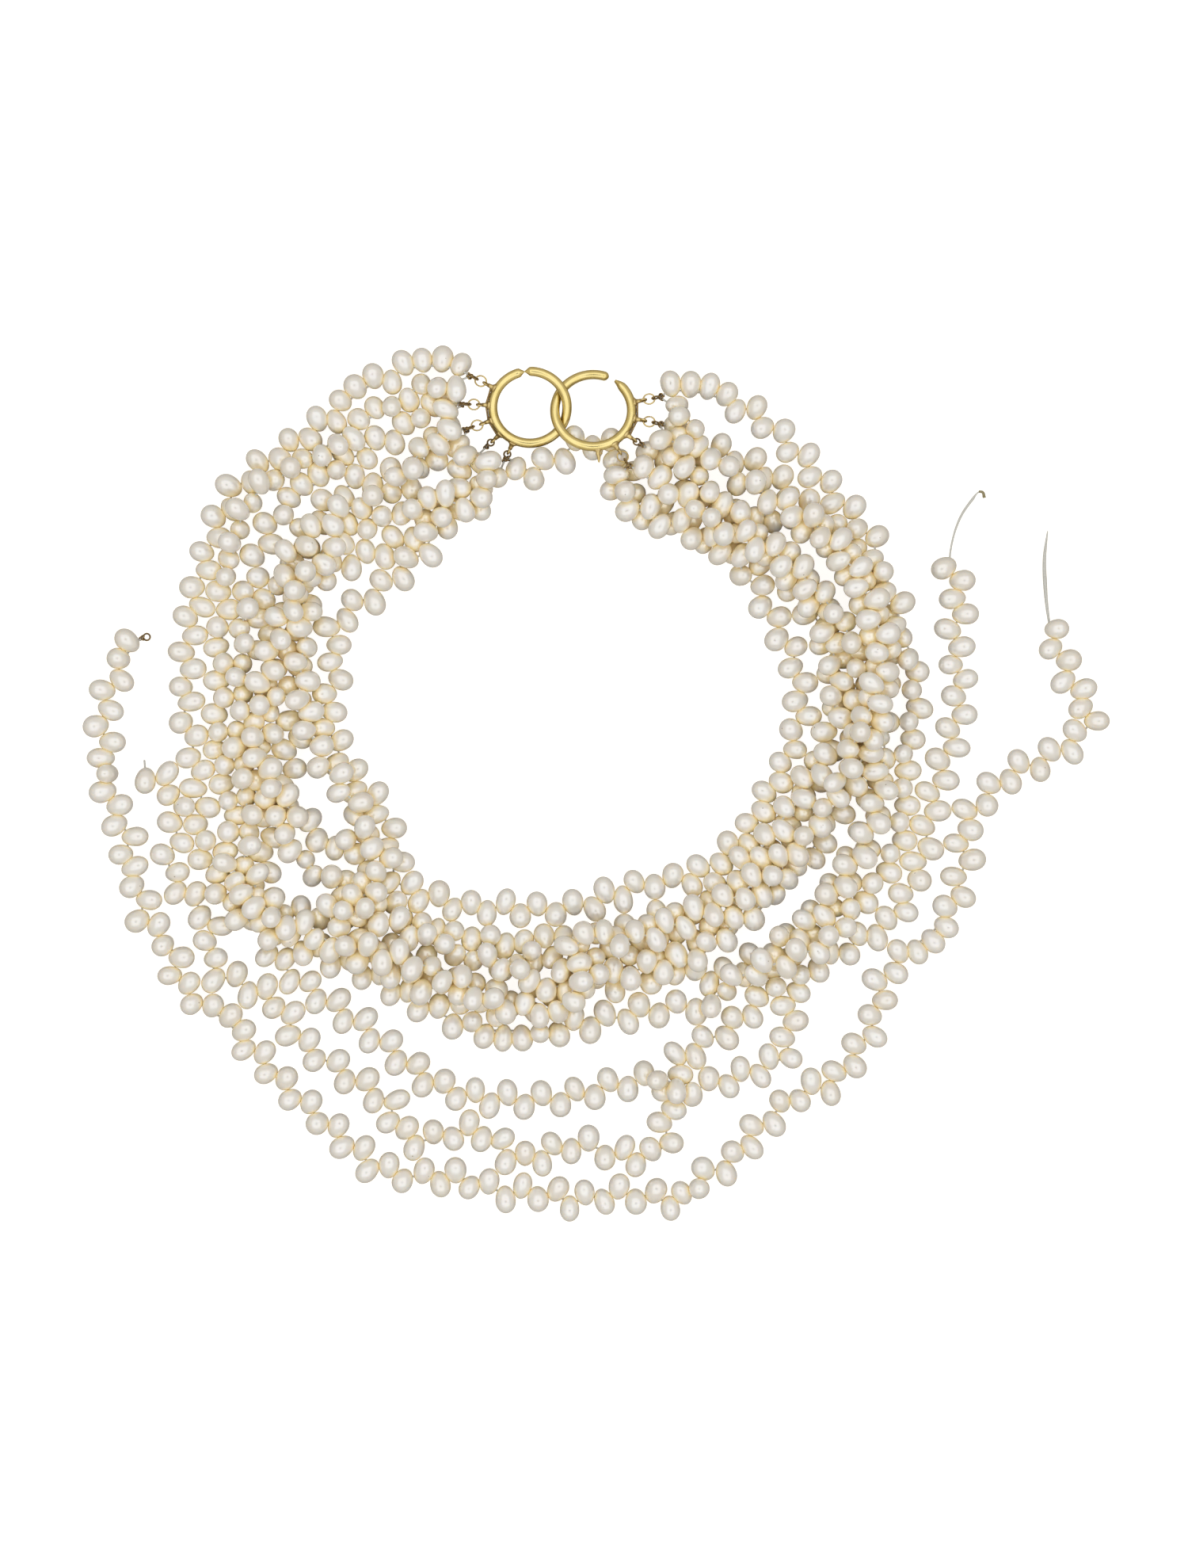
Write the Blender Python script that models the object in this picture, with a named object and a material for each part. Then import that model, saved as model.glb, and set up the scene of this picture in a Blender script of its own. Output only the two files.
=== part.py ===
"""A necklace of ten strands of top-drilled pearls, laid flat, with a clasp of two linked gold rings.

It is modelled lying on a table, +Z up, with its origin under the middle of it. The clasp is at +Y.
Each strand is a plain tube here, as thick as its pearls. Sizes are in millimetres until MM scales them.
"""

import math

import bpy
import numpy as np
from mathutils import Matrix, Vector

MM = 0.001
MIDDLE = (-0.3, 2.6)  # the middle of the laid necklace, which becomes the origin

STRAND_DIAMETER = 5.6
STRAND_GAP = 0.6  # between strands that lie on each other
POINT_SPACING = 10.0  # along a strand, about two diameters
THREAD_DIAMETER = 0.5
THREAD_SPACING = 1.5
STARTING_STEP = 2.5  # in height, from each strand to the next, before they are laid
SAMPLES = 4  # in each of a strand's segments, where it is compared with the other strands
SEARCH_MARGIN = 3.0

CLASP_WIRE = 2.4
CLASP_HEIGHT = 4.6  # of the rings' centres above the table
PART_GAP = 0.3
LEFT_RING = {"centre": (-16.2, 95.1), "radius": 9.4, "tilt": 18.0, "posts": (151, 177, 199.5, 223, 245)}
RIGHT_RING = {"centre": (-0.2, 94.3), "radius": 9.7, "tilt": -18.0, "posts": (12.4, -12, -37.5, -59)}
BROKEN_POST_ANGLE = -84
NECK_ANGLE = 98  # where the left ring's two tapered ends meet
SLOT_ANGLE = 61  # where the right ring is open
SLOT_HALF_ANGLE = 5.5

POST_BASE_DIAMETER = 1.5
POST_DIAMETER = 0.9
EYE_RADIUS = 0.7  # to the middle of the eye's wire
EYE_WIRE = 0.5
EYE_REACH = 2.1  # from the ring's outside to the eye's centre
BROKEN_POST_LENGTH = 3.1
BROKEN_TIP_DIAMETER = 0.24
JUMP_RING_RADIUS = 1.45
JUMP_RING_WIRE = 0.3
LOOP_RADIUS = 0.85  # of the wound wire loop that guards each thread's end
LOOP_WIRE = 0.4
LOOP_OFFSET = 0.2
LINKED_POSTS = {"left": (1, 2, 3), "right": (1, 2, 4)}  # their thread loops hang on jump rings
SWING_ROOM = 6.0  # degrees that each clasp ring turns either way
LINK_REACH = 6.5  # from a ring's outside to past the end of its links

LOOSE_LOOP = (-113.2, 37.2)

# The middle line of each strand on the table, from its left end to its right end.
ROUTES = {
    "pearl_strand_1": [
        (-117.6, 35), (-124.5, 17), (-122, 4), (-122, -5), (-118, -13), (-118, -21.5), (-115, -25.5),
        (-113.5, -34.5), (-107, -41), (-105, -49.5), (-91.5, -61.5), (-84.5, -69), (-77, -77.5),
        (-63.5, -89.5), (-55, -97), (-50.5, -98.5), (-34.5, -99.5), (-23, -103), (-11.5, -103.5),
        (-6, -105.5), (4.5, -103.5), (24.5, -104.5), (26.5, -100.5), (35, -95), (41, -87.5),
        (53.5, -77.5), (59, -76.5), (65.5, -69), (71, -59.5), (73, -49.5), (80, -41.5), (89, -33.5),
        (93.5, -18.5), (92.5, -13.5), (105, 2.5), (115, 6.5), (125.5, 16.5), (121, 25), (117, 34.5),
        (115.5, 39),
    ],
    "pearl_strand_2": [
        (-25.5, 77), (-30, 71.5), (-42, 64.5), (-56, 58), (-66, 56), (-73.5, 50), (-77, 40),
        (-76.5, 29), (-77, 18), (-79, 7), (-80, -6), (-84, -20), (-84.5, -30), (-81, -42),
        (-72.5, -51.5), (-61, -59.5), (-49.5, -68.5), (-41, -75.5), (-30.5, -79), (-7.5, -79.5),
        (3, -76.5), (14, -74.5), (25, -76.5), (35, -74.5), (45, -70.5), (49, -67.5), (49, -58),
        (51.5, -48.5), (66.5, -40), (75, -32.5), (79, -27.5), (83, -16.5), (85, -5.5), (92.5, 20.5),
        (91, 36.5), (92.5, 46.5), (90, 55.5),
    ],
    "pearl_strand_3": [
        (-113, 2.5), (-106, -1.5), (-104.5, -10), (-107.5, -19.5), (-106, -24), (-96.5, -35.5),
        (-97, -45.5), (-88.5, -51), (-79.5, -55.5), (-74.5, -64.5), (-65.5, -71.5), (-51.5, -81.5),
        (-47, -90), (-32.5, -87.5), (-27, -88.5), (-19.5, -95), (-4.5, -91), (6, -93.5), (16, -93.5),
        (19, -79.5), (22, -69.5), (35, -61), (43, -53), (49, -43.5), (57, -34.5), (68.5, -13.5),
        (71, -1.5), (69.5, 4.5), (65, 15.5), (62, 26.5), (58.5, 38), (49, 52.5), (39.5, 60), (22, 67.5),
        (11, 70.5), (7, 73.5), (8, 81.5), (1.5, 86), (-3.5, 86.4), (-9.5, 82.5), (-20.5, 77.5),
    ],
    "pearl_strand_4": [
        (-35.5, 106), (-41.5, 107), (-51, 103.5), (-61, 98), (-69.5, 89.5), (-85, 79), (-89.5, 74.5),
        (-95.5, 63.5), (-99, 52.5), (-101, 35.5), (-103, 18.5), (-99.5, 2), (-99, -15), (-95.5, -26),
        (-87, -35), (-76.5, -39.5), (-59.5, -46.5), (-33, -59.5), (-15, -61.5), (2, -59.5), (13, -57),
        (28.5, -55.5), (36, -48), (52.5, -42), (62.5, -35.5), (69, -26), (76.5, -17), (77.5, -11.5),
        (77, 7), (80, 19), (80.5, 25.5), (77, 37.5), (69, 60.5), (58, 76), (45, 90), (39.5, 94.5),
        (28.5, 99), (20.5, 99.5),
    ],
    "pearl_strand_5": [
        (-35.5, 101), (-47, 98), (-57, 92), (-61, 88.5), (-70.5, 82), (-81.5, 77), (-87.5, 72.5),
        (-91.5, 61.5), (-93, 52), (-94.5, 39), (-93.5, 22.5), (-94, 11), (-92, 0), (-91, -10),
        (-92, -18), (-89, -26), (-81, -33), (-73, -37.5), (-56, -42), (-45, -45), (-29.5, -53.5),
        (-13, -57), (-4, -51.5), (-5.5, -42), (-2.5, -39), (8, -39.5), (22.5, -34.5), (37.5, -27.5),
        (47, -19.5), (55.5, -10), (62, 1), (69.5, 19), (73, 30.5), (71, 42.5), (66, 53.5), (58, 63.5),
        (51, 68.5), (35.5, 78), (23.5, 89), (20, 95.5),
    ],
    "pearl_strand_6": [
        (-37, 97.5), (-45, 92), (-57.5, 84.5), (-74, 74), (-82.5, 63.5), (-86, 51), (-88.5, 38.5),
        (-87, 27), (-89, 10.5), (-86, -8), (-88, -19), (-84.5, -28.5), (-72, -33.5), (-60, -30.5),
        (-45, -38), (-29.5, -43.5), (-19, -46.5), (-9, -52), (-0.5, -47.5), (5, -48.5), (14.5, -45.5),
        (19, -45.5), (28.5, -41), (37, -33.5), (50.5, -23), (57, -13), (63, -3), (67, 8.5),
        (70.5, 19.5), (72.5, 31.5), (70.5, 43), (65.5, 54), (59, 62.5), (49.5, 68), (40, 68),
        (30.5, 72.5), (24, 80), (19.5, 86.5),
    ],
    "pearl_strand_7": [
        (-37, 94), (-39, 88.5), (-45, 82), (-50, 75.5), (-62.5, 69.5), (-73, 61.5), (-80, 50.5),
        (-84, 39), (-83, 29), (-81, 20), (-84, 5.5), (-81, -6), (-76, -16), (-71, -22), (-59.5, -26),
        (-52.5, -31), (-37.5, -35.5), (-21, -40.5), (-12, -46.5), (-7, -47.5), (2, -43.5),
        (12.5, -41.5), (27.5, -37.5), (32, -34), (40, -25.5), (47, -16.5), (55, -1.5), (60, 10),
        (62, 28), (60, 39.5), (53, 49.5), (45.5, 58), (31.5, 66.5), (24, 74.5), (20.5, 84.5),
        (20.5, 91),
    ],
    "pearl_strand_8": [
        (-36, 89.5), (-45.5, 76.5), (-54.5, 77.5), (-63, 73.5), (-71, 66), (-75, 56), (-72.5, 44),
        (-74, 32), (-74.5, 21), (-70, 9), (-63.5, 0), (-58.5, -9), (-58.5, -20), (-62, -30.5),
        (-61, -35.5), (-53, -42), (-42.5, -45.5), (-33.5, -53), (-23.5, -57.5), (-18, -56.5),
        (-4.5, -47.5), (5, -51.5), (19, -45.5), (28.5, -49.5), (38, -47.5), (56, -33.5), (63.5, -23.5),
        (69.5, -12), (72.5, 0), (70.5, 17), (73, 34.5), (72, 45.5), (66, 56.5), (58.5, 65.5),
        (49.5, 73.5), (35, 83), (30, 84.5), (15, 82.5),
    ],
    "pearl_strand_9": [
        (-34.5, 86), (-27.5, 79), (-31, 71), (-40.5, 71.5), (-51.5, 66), (-60.5, 66), (-68.5, 58.5),
        (-75.5, 48.5), (-80, 37), (-84.5, 20.5), (-85, 9), (-82.5, 1), (-77, -8), (-68.5, -13.5),
        (-64.5, -15.5), (-56.5, -12), (-52.5, -19.5), (-54.5, -23.5), (-64, -34), (-59, -42.5),
        (-49, -47.5), (-32, -52.5), (-22, -48), (-15.5, -41.5), (-11, -40), (-1, -40.5), (18.5, -34),
        (33, -26), (41, -17.5), (45, -13), (55.5, 2.5), (65, 11), (70, 22), (67, 33), (61, 42.5),
        (52.5, 52.5), (43.5, 59.5), (34.5, 63.5), (25, 70), (12.5, 79),
    ],
    "pearl_strand_10": [
        (-30, 80.5), (-38, 72), (-42, 62.5), (-45, 58.5), (-52, 51), (-61, 45), (-65, 41.5),
        (-66.5, 36.5), (-65, 31.5), (-67, 21), (-67.5, 16), (-64, 6), (-54.5, -7.5), (-52, -12),
        (-51, -22), (-47.5, -27), (-43, -29.5), (-32, -32), (-21, -31.5), (-9.5, -32.5), (-4, -31.5),
        (6.5, -27.5), (12, -26), (23, -24.5), (33, -19.5), (37.5, -15.5), (43.5, -6), (50.5, 9.5),
        (53, 21), (50.5, 32.5), (45, 42), (41, 52), (33.5, 60), (23, 64.5), (7, 73), (6.5, 77.5),
    ],
}

# The order in which the strands lie, from the table up.
LAID_ORDER = (3, 1, 2, 10, 8, 4, 7, 9, 6, 5)

# Two strands end in a bare thread: the points that it passes over the table.
LOOSE_THREADS = {
    "loose_thread_1": ("pearl_strand_2", [(90.8, 62), (93, 68), (96, 72.3), (98, 74.2), (98.8, 72.4)]),
    "loose_thread_2": ("pearl_strand_1", [(114.6, 45), (114.2, 50), (114, 57), (114.8, 64)]),
}

GOLD = ("polished_gold", (0.80, 0.58, 0.22), 0.22, 1.0)
DARK_GOLD = ("tarnished_gold", (0.30, 0.21, 0.08), 0.45, 1.0)
PEARL = ("cream_pearl", (0.90, 0.85, 0.77), 0.28, 0.0)
SILK = ("silk_thread", (0.82, 0.76, 0.64), 0.85, 0.0)


def clear_scene():
    for obj in list(bpy.data.objects):
        bpy.data.objects.remove(obj)


def new_collection(name, hidden=False):
    collection = bpy.data.collections.new(name)
    collection.hide_render = hidden
    bpy.context.scene.collection.children.link(collection)
    return collection


def material(name, colour, roughness, metallic):
    made = bpy.data.materials.new(name)
    made.use_nodes = True
    shader = made.node_tree.nodes["Principled BSDF"]
    shader.inputs["Base Color"].default_value = (*colour, 1)
    shader.inputs["Roughness"].default_value = roughness
    shader.inputs["Metallic"].default_value = metallic
    made.diffuse_color = (*colour, 1)
    return made


def place(name, data, finish, parent=None, location=(0, 0, 0), turn=0.0):
    """Puts an object under its parent, location in millimetres and turned about the parent's Z."""
    obj = bpy.data.objects.new(name, data)
    data.materials.clear()
    data.materials.append(material(name, *finish[1:]))
    obj.parent = parent
    obj.location = Vector(location) * MM
    obj.rotation_euler.z = turn
    necklace.objects.link(obj)
    return obj


def wire_curve(name, points, diameter, widths=None, closed=False):
    """A round wire through points in millimetres. widths scales its diameter at each point."""
    curve = bpy.data.curves.new(name, "CURVE")
    curve.dimensions = "3D"
    curve.bevel_depth = diameter / 2 * MM
    curve.bevel_resolution = 2
    curve.use_fill_caps = not closed
    spline = curve.splines.new("POLY")
    spline.points.add(len(points) - 1)
    for index, point in enumerate(points):
        spline.points[index].co = (*(Vector(point) * MM), 1)
        spline.points[index].radius = widths[index] if widths is not None else 1
    spline.use_cyclic_u = closed
    return curve


def smooth_line(points, spacing):
    """Points at even spacing on the centripetal Catmull-Rom curve through the given points."""
    given = np.array(points, float)
    ends = (2 * given[0] - given[1], 2 * given[-1] - given[-2])
    given = np.vstack([ends[0], given, ends[1]])
    line = []
    for a, b, c, d in zip(given, given[1:], given[2:], given[3:]):
        knots = np.cumsum([0] + [np.linalg.norm(q - p) ** 0.5 for p, q in ((a, b), (b, c), (c, d))])
        for t in np.linspace(knots[1], knots[2], 12, endpoint=False):
            first = [mix(p, q, knots[i], knots[i + 1], t) for i, (p, q) in enumerate(((a, b), (b, c), (c, d)))]
            second = [mix(first[i], first[i + 1], knots[i], knots[i + 2], t) for i in range(2)]
            line.append(mix(second[0], second[1], knots[1], knots[2], t))
    line = np.array(line + [given[-2]])
    along = np.concatenate([[0], np.cumsum(np.linalg.norm(np.diff(line, axis=0), axis=1))])
    even = np.linspace(0, along[-1], round(along[-1] / spacing) + 1)
    return np.column_stack([np.interp(even, along, line[:, axis]) for axis in range(line.shape[1])])


def mix(p, q, start, end, t):
    return ((end - t) * p + (t - start) * q) / (end - start)


def ring_matrix(ring):
    """From a clasp ring's own plane to the table's frame, in millimetres."""
    return Matrix.Translation((*ring["centre"], CLASP_HEIGHT)) @ Matrix.Rotation(math.radians(ring["tilt"]), 4, "X")


def round_the_ring(ring, angles, radius):
    """Points at these angles on a circle in the ring's plane, in the table's frame."""
    turned = [(radius * math.cos(a), radius * math.sin(a), 0) for a in np.radians(angles)]
    return [tuple(ring_matrix(ring) @ Vector(point)) for point in turned]


def clasp_guard():
    """Balls (x, y, z, radius) over the clasp and over the room in which its posts and links move."""
    balls = []
    for ring, posts in ((LEFT_RING, LEFT_RING["posts"]), (RIGHT_RING, RIGHT_RING["posts"] + (BROKEN_POST_ANGLE,))):
        wire = round_the_ring(ring, range(0, 360, 5), ring["radius"])
        balls += [(*point, CLASP_WIRE / 2 + 0.5) for point in wire]
        outside = ring["radius"] + CLASP_WIRE / 2
        for post in posts:
            for reach in np.arange(0.8, LINK_REACH, 0.8):
                swept = round_the_ring(ring, (post - SWING_ROOM, post, post + SWING_ROOM), outside + reach)
                balls += [(*point, EYE_RADIUS + EYE_WIRE / 2 + PART_GAP) for point in swept]
    return np.array(balls)


def lay_strands():
    """Lays the strands over each other in LAID_ORDER, and returns each one's middle line.

    Every line starts above the table at its place in the order. It is lowered in small steps, and wherever
    two strands would meet they are moved apart, so they end side by side or one over the other.
    """
    steps, lowering, holding, stiffness = 640, 0.12, 0.02, 0.15
    reach = STRAND_DIAMETER + STRAND_GAP
    floor = STRAND_DIAMETER / 2
    names = [f"pearl_strand_{number}" for number in LAID_ORDER]
    lines = [smooth_line(ROUTES[name], POINT_SPACING) - MIDDLE for name in names]
    owner = np.repeat(np.arange(len(names)), [len(line) for line in lines])
    route = np.vstack(lines)
    where = np.column_stack([route, floor + STARTING_STEP * owner])
    segment = np.flatnonzero(owner[:-1] == owner[1:])
    middle = np.flatnonzero((owner[1:-1] == owner[:-2]) & (owner[1:-1] == owner[2:])) + 1
    length = np.linalg.norm(route[segment + 1] - route[segment], axis=1)
    bend = np.zeros_like(where)
    bend[middle, :2] = (route[middle - 1] + route[middle + 1]) / 2 - route[middle]
    guard = clasp_guard() - (*MIDDLE, 0, 0)

    # Strands are compared at the samples in each of their segments, and at their last points.
    share = np.concatenate([np.tile(np.arange(SAMPLES) / SAMPLES, len(segment)), np.ones(len(names))])
    start = np.concatenate([np.repeat(segment, SAMPLES), np.flatnonzero(np.diff(owner, append=-1)) - 1])
    along = start + share

    def spread(moves, samples):
        """Shares each sample's move between the two points that it lies between."""
        for offset, weight in ((0, 1 - share[samples]), (1, share[samples])):
            np.add.at(total, start[samples] + offset, moves * weight[:, None])
            np.add.at(count, start[samples] + offset, weight)

    for step in range(steps):
        ease = 1.0 if step < steps - 160 else 0.15
        where[:, 2] -= lowering * ease
        where[:, :2] += holding * ease * (route - where[:, :2])
        unbent = (where[middle - 1] + where[middle + 1]) / 2 - bend[middle]
        where[middle] += stiffness * ease * (unbent - where[middle])
        samples = where[start] * (1 - share)[:, None] + where[start + 1] * share[:, None]
        if step % 8 == 0:
            apart = np.linalg.norm(samples[:, None] - samples[None], axis=2)
            separate = (owner[start][:, None] < owner[start][None]) | (along[None] - along[:, None] > 1.4)
            one, other = np.nonzero((apart < reach + SEARCH_MARGIN) & separate & (along[None] > along[:, None]))
            off_guard = np.linalg.norm(samples[:, None] - guard[None, :, :3], axis=2)
            by_guard, ball = np.nonzero(off_guard < guard[None, :, 3] + floor + SEARCH_MARGIN)
        for _ in range(2):
            samples = where[start] * (1 - share)[:, None] + where[start + 1] * share[:, None]
            total = np.zeros_like(where)
            count = np.zeros(len(where))
            line = samples[one] - samples[other]
            distance = np.linalg.norm(line, axis=1)
            push = line * (np.maximum(reach - distance, 0) / (2 * distance))[:, None]
            touching = distance < reach
            spread(push[touching], one[touching])
            spread(-push[touching], other[touching])
            line = samples[by_guard] - guard[ball, :3]
            distance = np.linalg.norm(line, axis=1)
            lack = guard[ball, 3] + floor - distance
            spread((line * (lack / distance)[:, None])[lack > 0], by_guard[lack > 0])
            where += 1.3 * total / np.maximum(count, 1)[:, None]
            where[:, 2] = np.maximum(where[:, 2], floor)
        stretch = where[segment + 1] - where[segment]
        now = np.linalg.norm(stretch, axis=1)
        correction = stretch * ((now - length) / now)[:, None] * 0.25 * ease
        np.add.at(where, segment, correction)
        np.add.at(where, segment + 1, -correction)
    return {name: where[owner == index] for index, name in enumerate(names)}


def make_strands():
    lines = lay_strands()
    for name, line in lines.items():
        place(name, wire_curve(name, line, STRAND_DIAMETER), PEARL)
    return lines


def make_loose_threads(strand_lines):
    """Each starts just clear of its strand's right end and drops to the table."""
    for name, (strand, points) in LOOSE_THREADS.items():
        end, before = strand_lines[strand][-1], strand_lines[strand][-2]
        outward = (end - before) / np.linalg.norm(end - before)
        rest = THREAD_DIAMETER / 2 + 0.05
        route = [end + outward * PART_GAP, end + outward * 2 - (0, 0, 1)]
        route += [(x - MIDDLE[0], y - MIDDLE[1], rest) for x, y in points]
        line = smooth_line(route, THREAD_SPACING)
        line[:, 2] = np.maximum(line[:, 2], rest)
        place(name, wire_curve(name, line, THREAD_DIAMETER), SILK)


def make_left_ring(axis):
    """Nearly a full circle: two tapered ends meet in a thin neck, which the other ring's slot passes over."""
    angles = [NECK_ANGLE + a for a in (0, 4, 9)] + [NECK_ANGLE + a for a in range(18, 343, 9)]
    angles += [NECK_ANGLE - 9, NECK_ANGLE - 4]
    widths = [0.3, 0.75, 1.0] + [1.0] * (len(angles) - 4) + [0.75]
    radius = LEFT_RING["radius"]
    points = [(radius * math.cos(a), radius * math.sin(a), 0) for a in np.radians(angles)]
    curve = wire_curve("left_clasp_ring", points, CLASP_WIRE, widths, closed=True)
    place("left_clasp_ring", curve, GOLD, axis)


def make_right_ring(axis):
    """A ring with a narrow slot between its two rounded ends."""
    first = SLOT_ANGLE + SLOT_HALF_ANGLE
    last = SLOT_ANGLE + 360 - SLOT_HALF_ANGLE
    angles = [first, first + 3] + list(np.linspace(first + 8, last - 8, 38)) + [last - 3, last]
    widths = [0.5, 0.9] + [1.0] * 38 + [0.9, 0.5]
    radius = RIGHT_RING["radius"]
    points = [(radius * math.cos(a), radius * math.sin(a), 0) for a in np.radians(angles)]
    place("right_clasp_ring", wire_curve("right_clasp_ring", points, CLASP_WIRE, widths), GOLD, axis)


def turned_mesh(name, transform, adder, **sizes):
    """A primitive's mesh, scaled to metres, with its points moved by transform."""
    adder(**sizes)
    made = bpy.context.active_object
    mesh = made.data
    mesh.name = name
    mesh.transform(Matrix.Scale(MM, 4) @ transform)
    bpy.data.objects.remove(made)
    return mesh


def along_x(x):
    return Matrix.Translation((x, 0, 0)) @ Matrix.Rotation(math.pi / 2, 4, "Y")


def post_mesh():
    """A post with a flared foot and an eye, along +X from the clasp ring's outside. The eye's hole runs along Y."""
    length = EYE_REACH - PART_GAP - EYE_RADIUS
    shaft = turned_mesh(
        "post", along_x(PART_GAP + length / 2), bpy.ops.mesh.primitive_cone_add,
        vertices=8, radius1=POST_BASE_DIAMETER / 2, radius2=POST_DIAMETER / 2, depth=length,
    )
    upright = Matrix.Translation((EYE_REACH, 0, 0)) @ Matrix.Rotation(math.pi / 2, 4, "X")
    eye = turned_mesh(
        "eye", upright, bpy.ops.mesh.primitive_torus_add,
        major_radius=EYE_RADIUS, minor_radius=EYE_WIRE / 2, major_segments=14, minor_segments=6,
    )
    shaft_object = bpy.data.objects.new("post_shaft", shaft)
    eye_object = bpy.data.objects.new("post_eye", eye)
    for helper in (shaft_object, eye_object):
        helper.hide_render = True
        helper.display_type = "WIRE"
        cutters.objects.link(helper)
    union = shaft_object.modifiers.new("eye", "BOOLEAN")
    union.operation = "UNION"
    union.object = eye_object
    graph = bpy.context.evaluated_depsgraph_get()
    return bpy.data.meshes.new_from_object(shaft_object.evaluated_get(graph))


def broken_post_mesh():
    return turned_mesh(
        "broken_post", along_x(PART_GAP + BROKEN_POST_LENGTH / 2), bpy.ops.mesh.primitive_cone_add,
        vertices=12, radius1=POST_BASE_DIAMETER / 2, radius2=BROKEN_TIP_DIAMETER / 2, depth=BROKEN_POST_LENGTH,
    )


def jump_ring_mesh():
    """Flat in the clasp ring's plane, with its origin on the wire that passes through the post's eye."""
    return turned_mesh(
        "jump_ring", Matrix.Translation((JUMP_RING_RADIUS, 0, 0)), bpy.ops.mesh.primitive_torus_add,
        major_radius=JUMP_RING_RADIUS, minor_radius=JUMP_RING_WIRE / 2, major_segments=20, minor_segments=6,
    )


def loop_mesh(centre_x, upright):
    """The wound wire loop at a thread's end, flat or upright, with its centre at centre_x."""
    turn = Matrix.Rotation(math.pi / 2 if upright else 0, 4, "X")
    return turned_mesh(
        "thread_loop", Matrix.Translation((centre_x, 0, 0)) @ turn, bpy.ops.mesh.primitive_torus_add,
        major_radius=LOOP_RADIUS, minor_radius=LOOP_WIRE / 2, major_segments=16, minor_segments=6,
    )


def make_links(side, ring, axis):
    """The posts of one clasp ring, and on each one its jump ring, if it has one, and its thread loop."""
    outside = ring["radius"] + CLASP_WIRE / 2
    for number, degrees in enumerate(ring["posts"], 1):
        angle = math.radians(degrees)
        outward = Vector((math.cos(angle), math.sin(angle), 0))
        place(f"{side}_post_{number}", post_mesh(), GOLD, axis, outward * outside, angle)
        eye = outward * (outside + EYE_REACH)
        loop_name = f"{side}_thread_loop_{number}"
        if number in LINKED_POSTS[side]:
            place(f"{side}_jump_ring_{number}", jump_ring_mesh(), GOLD, axis, eye, angle)
            far_side = eye + outward * 2 * JUMP_RING_RADIUS
            place(loop_name, loop_mesh(LOOP_OFFSET, True), DARK_GOLD, axis, far_side, angle)
        else:
            place(loop_name, loop_mesh(LOOP_RADIUS, False), DARK_GOLD, axis, eye, angle)


def make_axis(name, ring):
    """An empty at the ring's centre, with its Z along the axis that the ring turns about."""
    axis = bpy.data.objects.new(name, None)
    axis.empty_display_size = 0.02
    shift = Vector((*MIDDLE, 0))
    matrix = Matrix.Translation(-shift) @ ring_matrix(ring)
    axis.location = matrix.translation * MM
    axis.rotation_euler = matrix.to_euler()
    necklace.objects.link(axis)
    return axis


def make_clasp():
    left = make_axis("left_clasp_axis", LEFT_RING)
    right = make_axis("right_clasp_axis", RIGHT_RING)
    make_left_ring(left)
    make_right_ring(right)
    make_links("left", LEFT_RING, left)
    make_links("right", RIGHT_RING, right)
    angle = math.radians(BROKEN_POST_ANGLE)
    foot = Vector((math.cos(angle), math.sin(angle), 0)) * (RIGHT_RING["radius"] + CLASP_WIRE / 2)
    place("right_broken_post", broken_post_mesh(), GOLD, right, foot, angle)


def make_loose_loop():
    """The thread loop on the strand's end that has come off the clasp. It lies on the table."""
    spot = (LOOSE_LOOP[0] - MIDDLE[0], LOOSE_LOOP[1] - MIDDLE[1], LOOP_WIRE / 2 + 0.02)
    place("loose_thread_loop", loop_mesh(0, False), DARK_GOLD, location=spot)


def shade_smooth():
    for obj in necklace.objects:
        if obj.type == "MESH":
            obj.data.shade_smooth()
            obj.data.set_sharp_from_angle(angle=math.radians(50))


clear_scene()
necklace = new_collection("pearl_necklace")
cutters = new_collection("cutters", hidden=True)
strand_lines = make_strands()
make_loose_threads(strand_lines)
make_clasp()
make_loose_loop()
shade_smooth()
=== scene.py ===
"""The looks of the ten-strand pearl necklace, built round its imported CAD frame.

Each strand's CAD tube is replaced by its pearls on their thread. The pearls are laid down by a small
simulation: they drop onto the table along their strand's route and push each other aside. The clasp's
plain rings, posts and loops are replaced by finely shaped ones in the same places. Except in the studio,
lengths are in millimetres, and MM scales them to metres. Angles are in degrees.
"""

import math

import bpy
import numpy as np
from mathutils import Matrix, Vector


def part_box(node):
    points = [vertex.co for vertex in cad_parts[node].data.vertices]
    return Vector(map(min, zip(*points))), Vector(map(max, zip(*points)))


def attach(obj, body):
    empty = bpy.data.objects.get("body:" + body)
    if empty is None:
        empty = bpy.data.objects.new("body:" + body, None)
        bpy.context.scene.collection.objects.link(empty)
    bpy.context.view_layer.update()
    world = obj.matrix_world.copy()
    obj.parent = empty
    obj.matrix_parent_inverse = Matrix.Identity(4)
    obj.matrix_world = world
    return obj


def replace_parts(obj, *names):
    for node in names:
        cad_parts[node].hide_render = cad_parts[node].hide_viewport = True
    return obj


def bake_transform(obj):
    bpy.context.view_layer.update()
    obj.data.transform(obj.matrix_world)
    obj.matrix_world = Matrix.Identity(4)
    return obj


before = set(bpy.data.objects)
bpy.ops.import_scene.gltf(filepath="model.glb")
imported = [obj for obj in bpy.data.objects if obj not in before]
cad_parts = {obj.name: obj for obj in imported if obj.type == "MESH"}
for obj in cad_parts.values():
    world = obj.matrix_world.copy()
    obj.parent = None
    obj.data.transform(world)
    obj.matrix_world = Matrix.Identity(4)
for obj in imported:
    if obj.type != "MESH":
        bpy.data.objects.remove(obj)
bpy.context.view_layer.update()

MM = 0.001
MIDDLE = (-0.3, 2.6)  # the routes' point that is the frame's origin
SEED = 21

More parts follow.
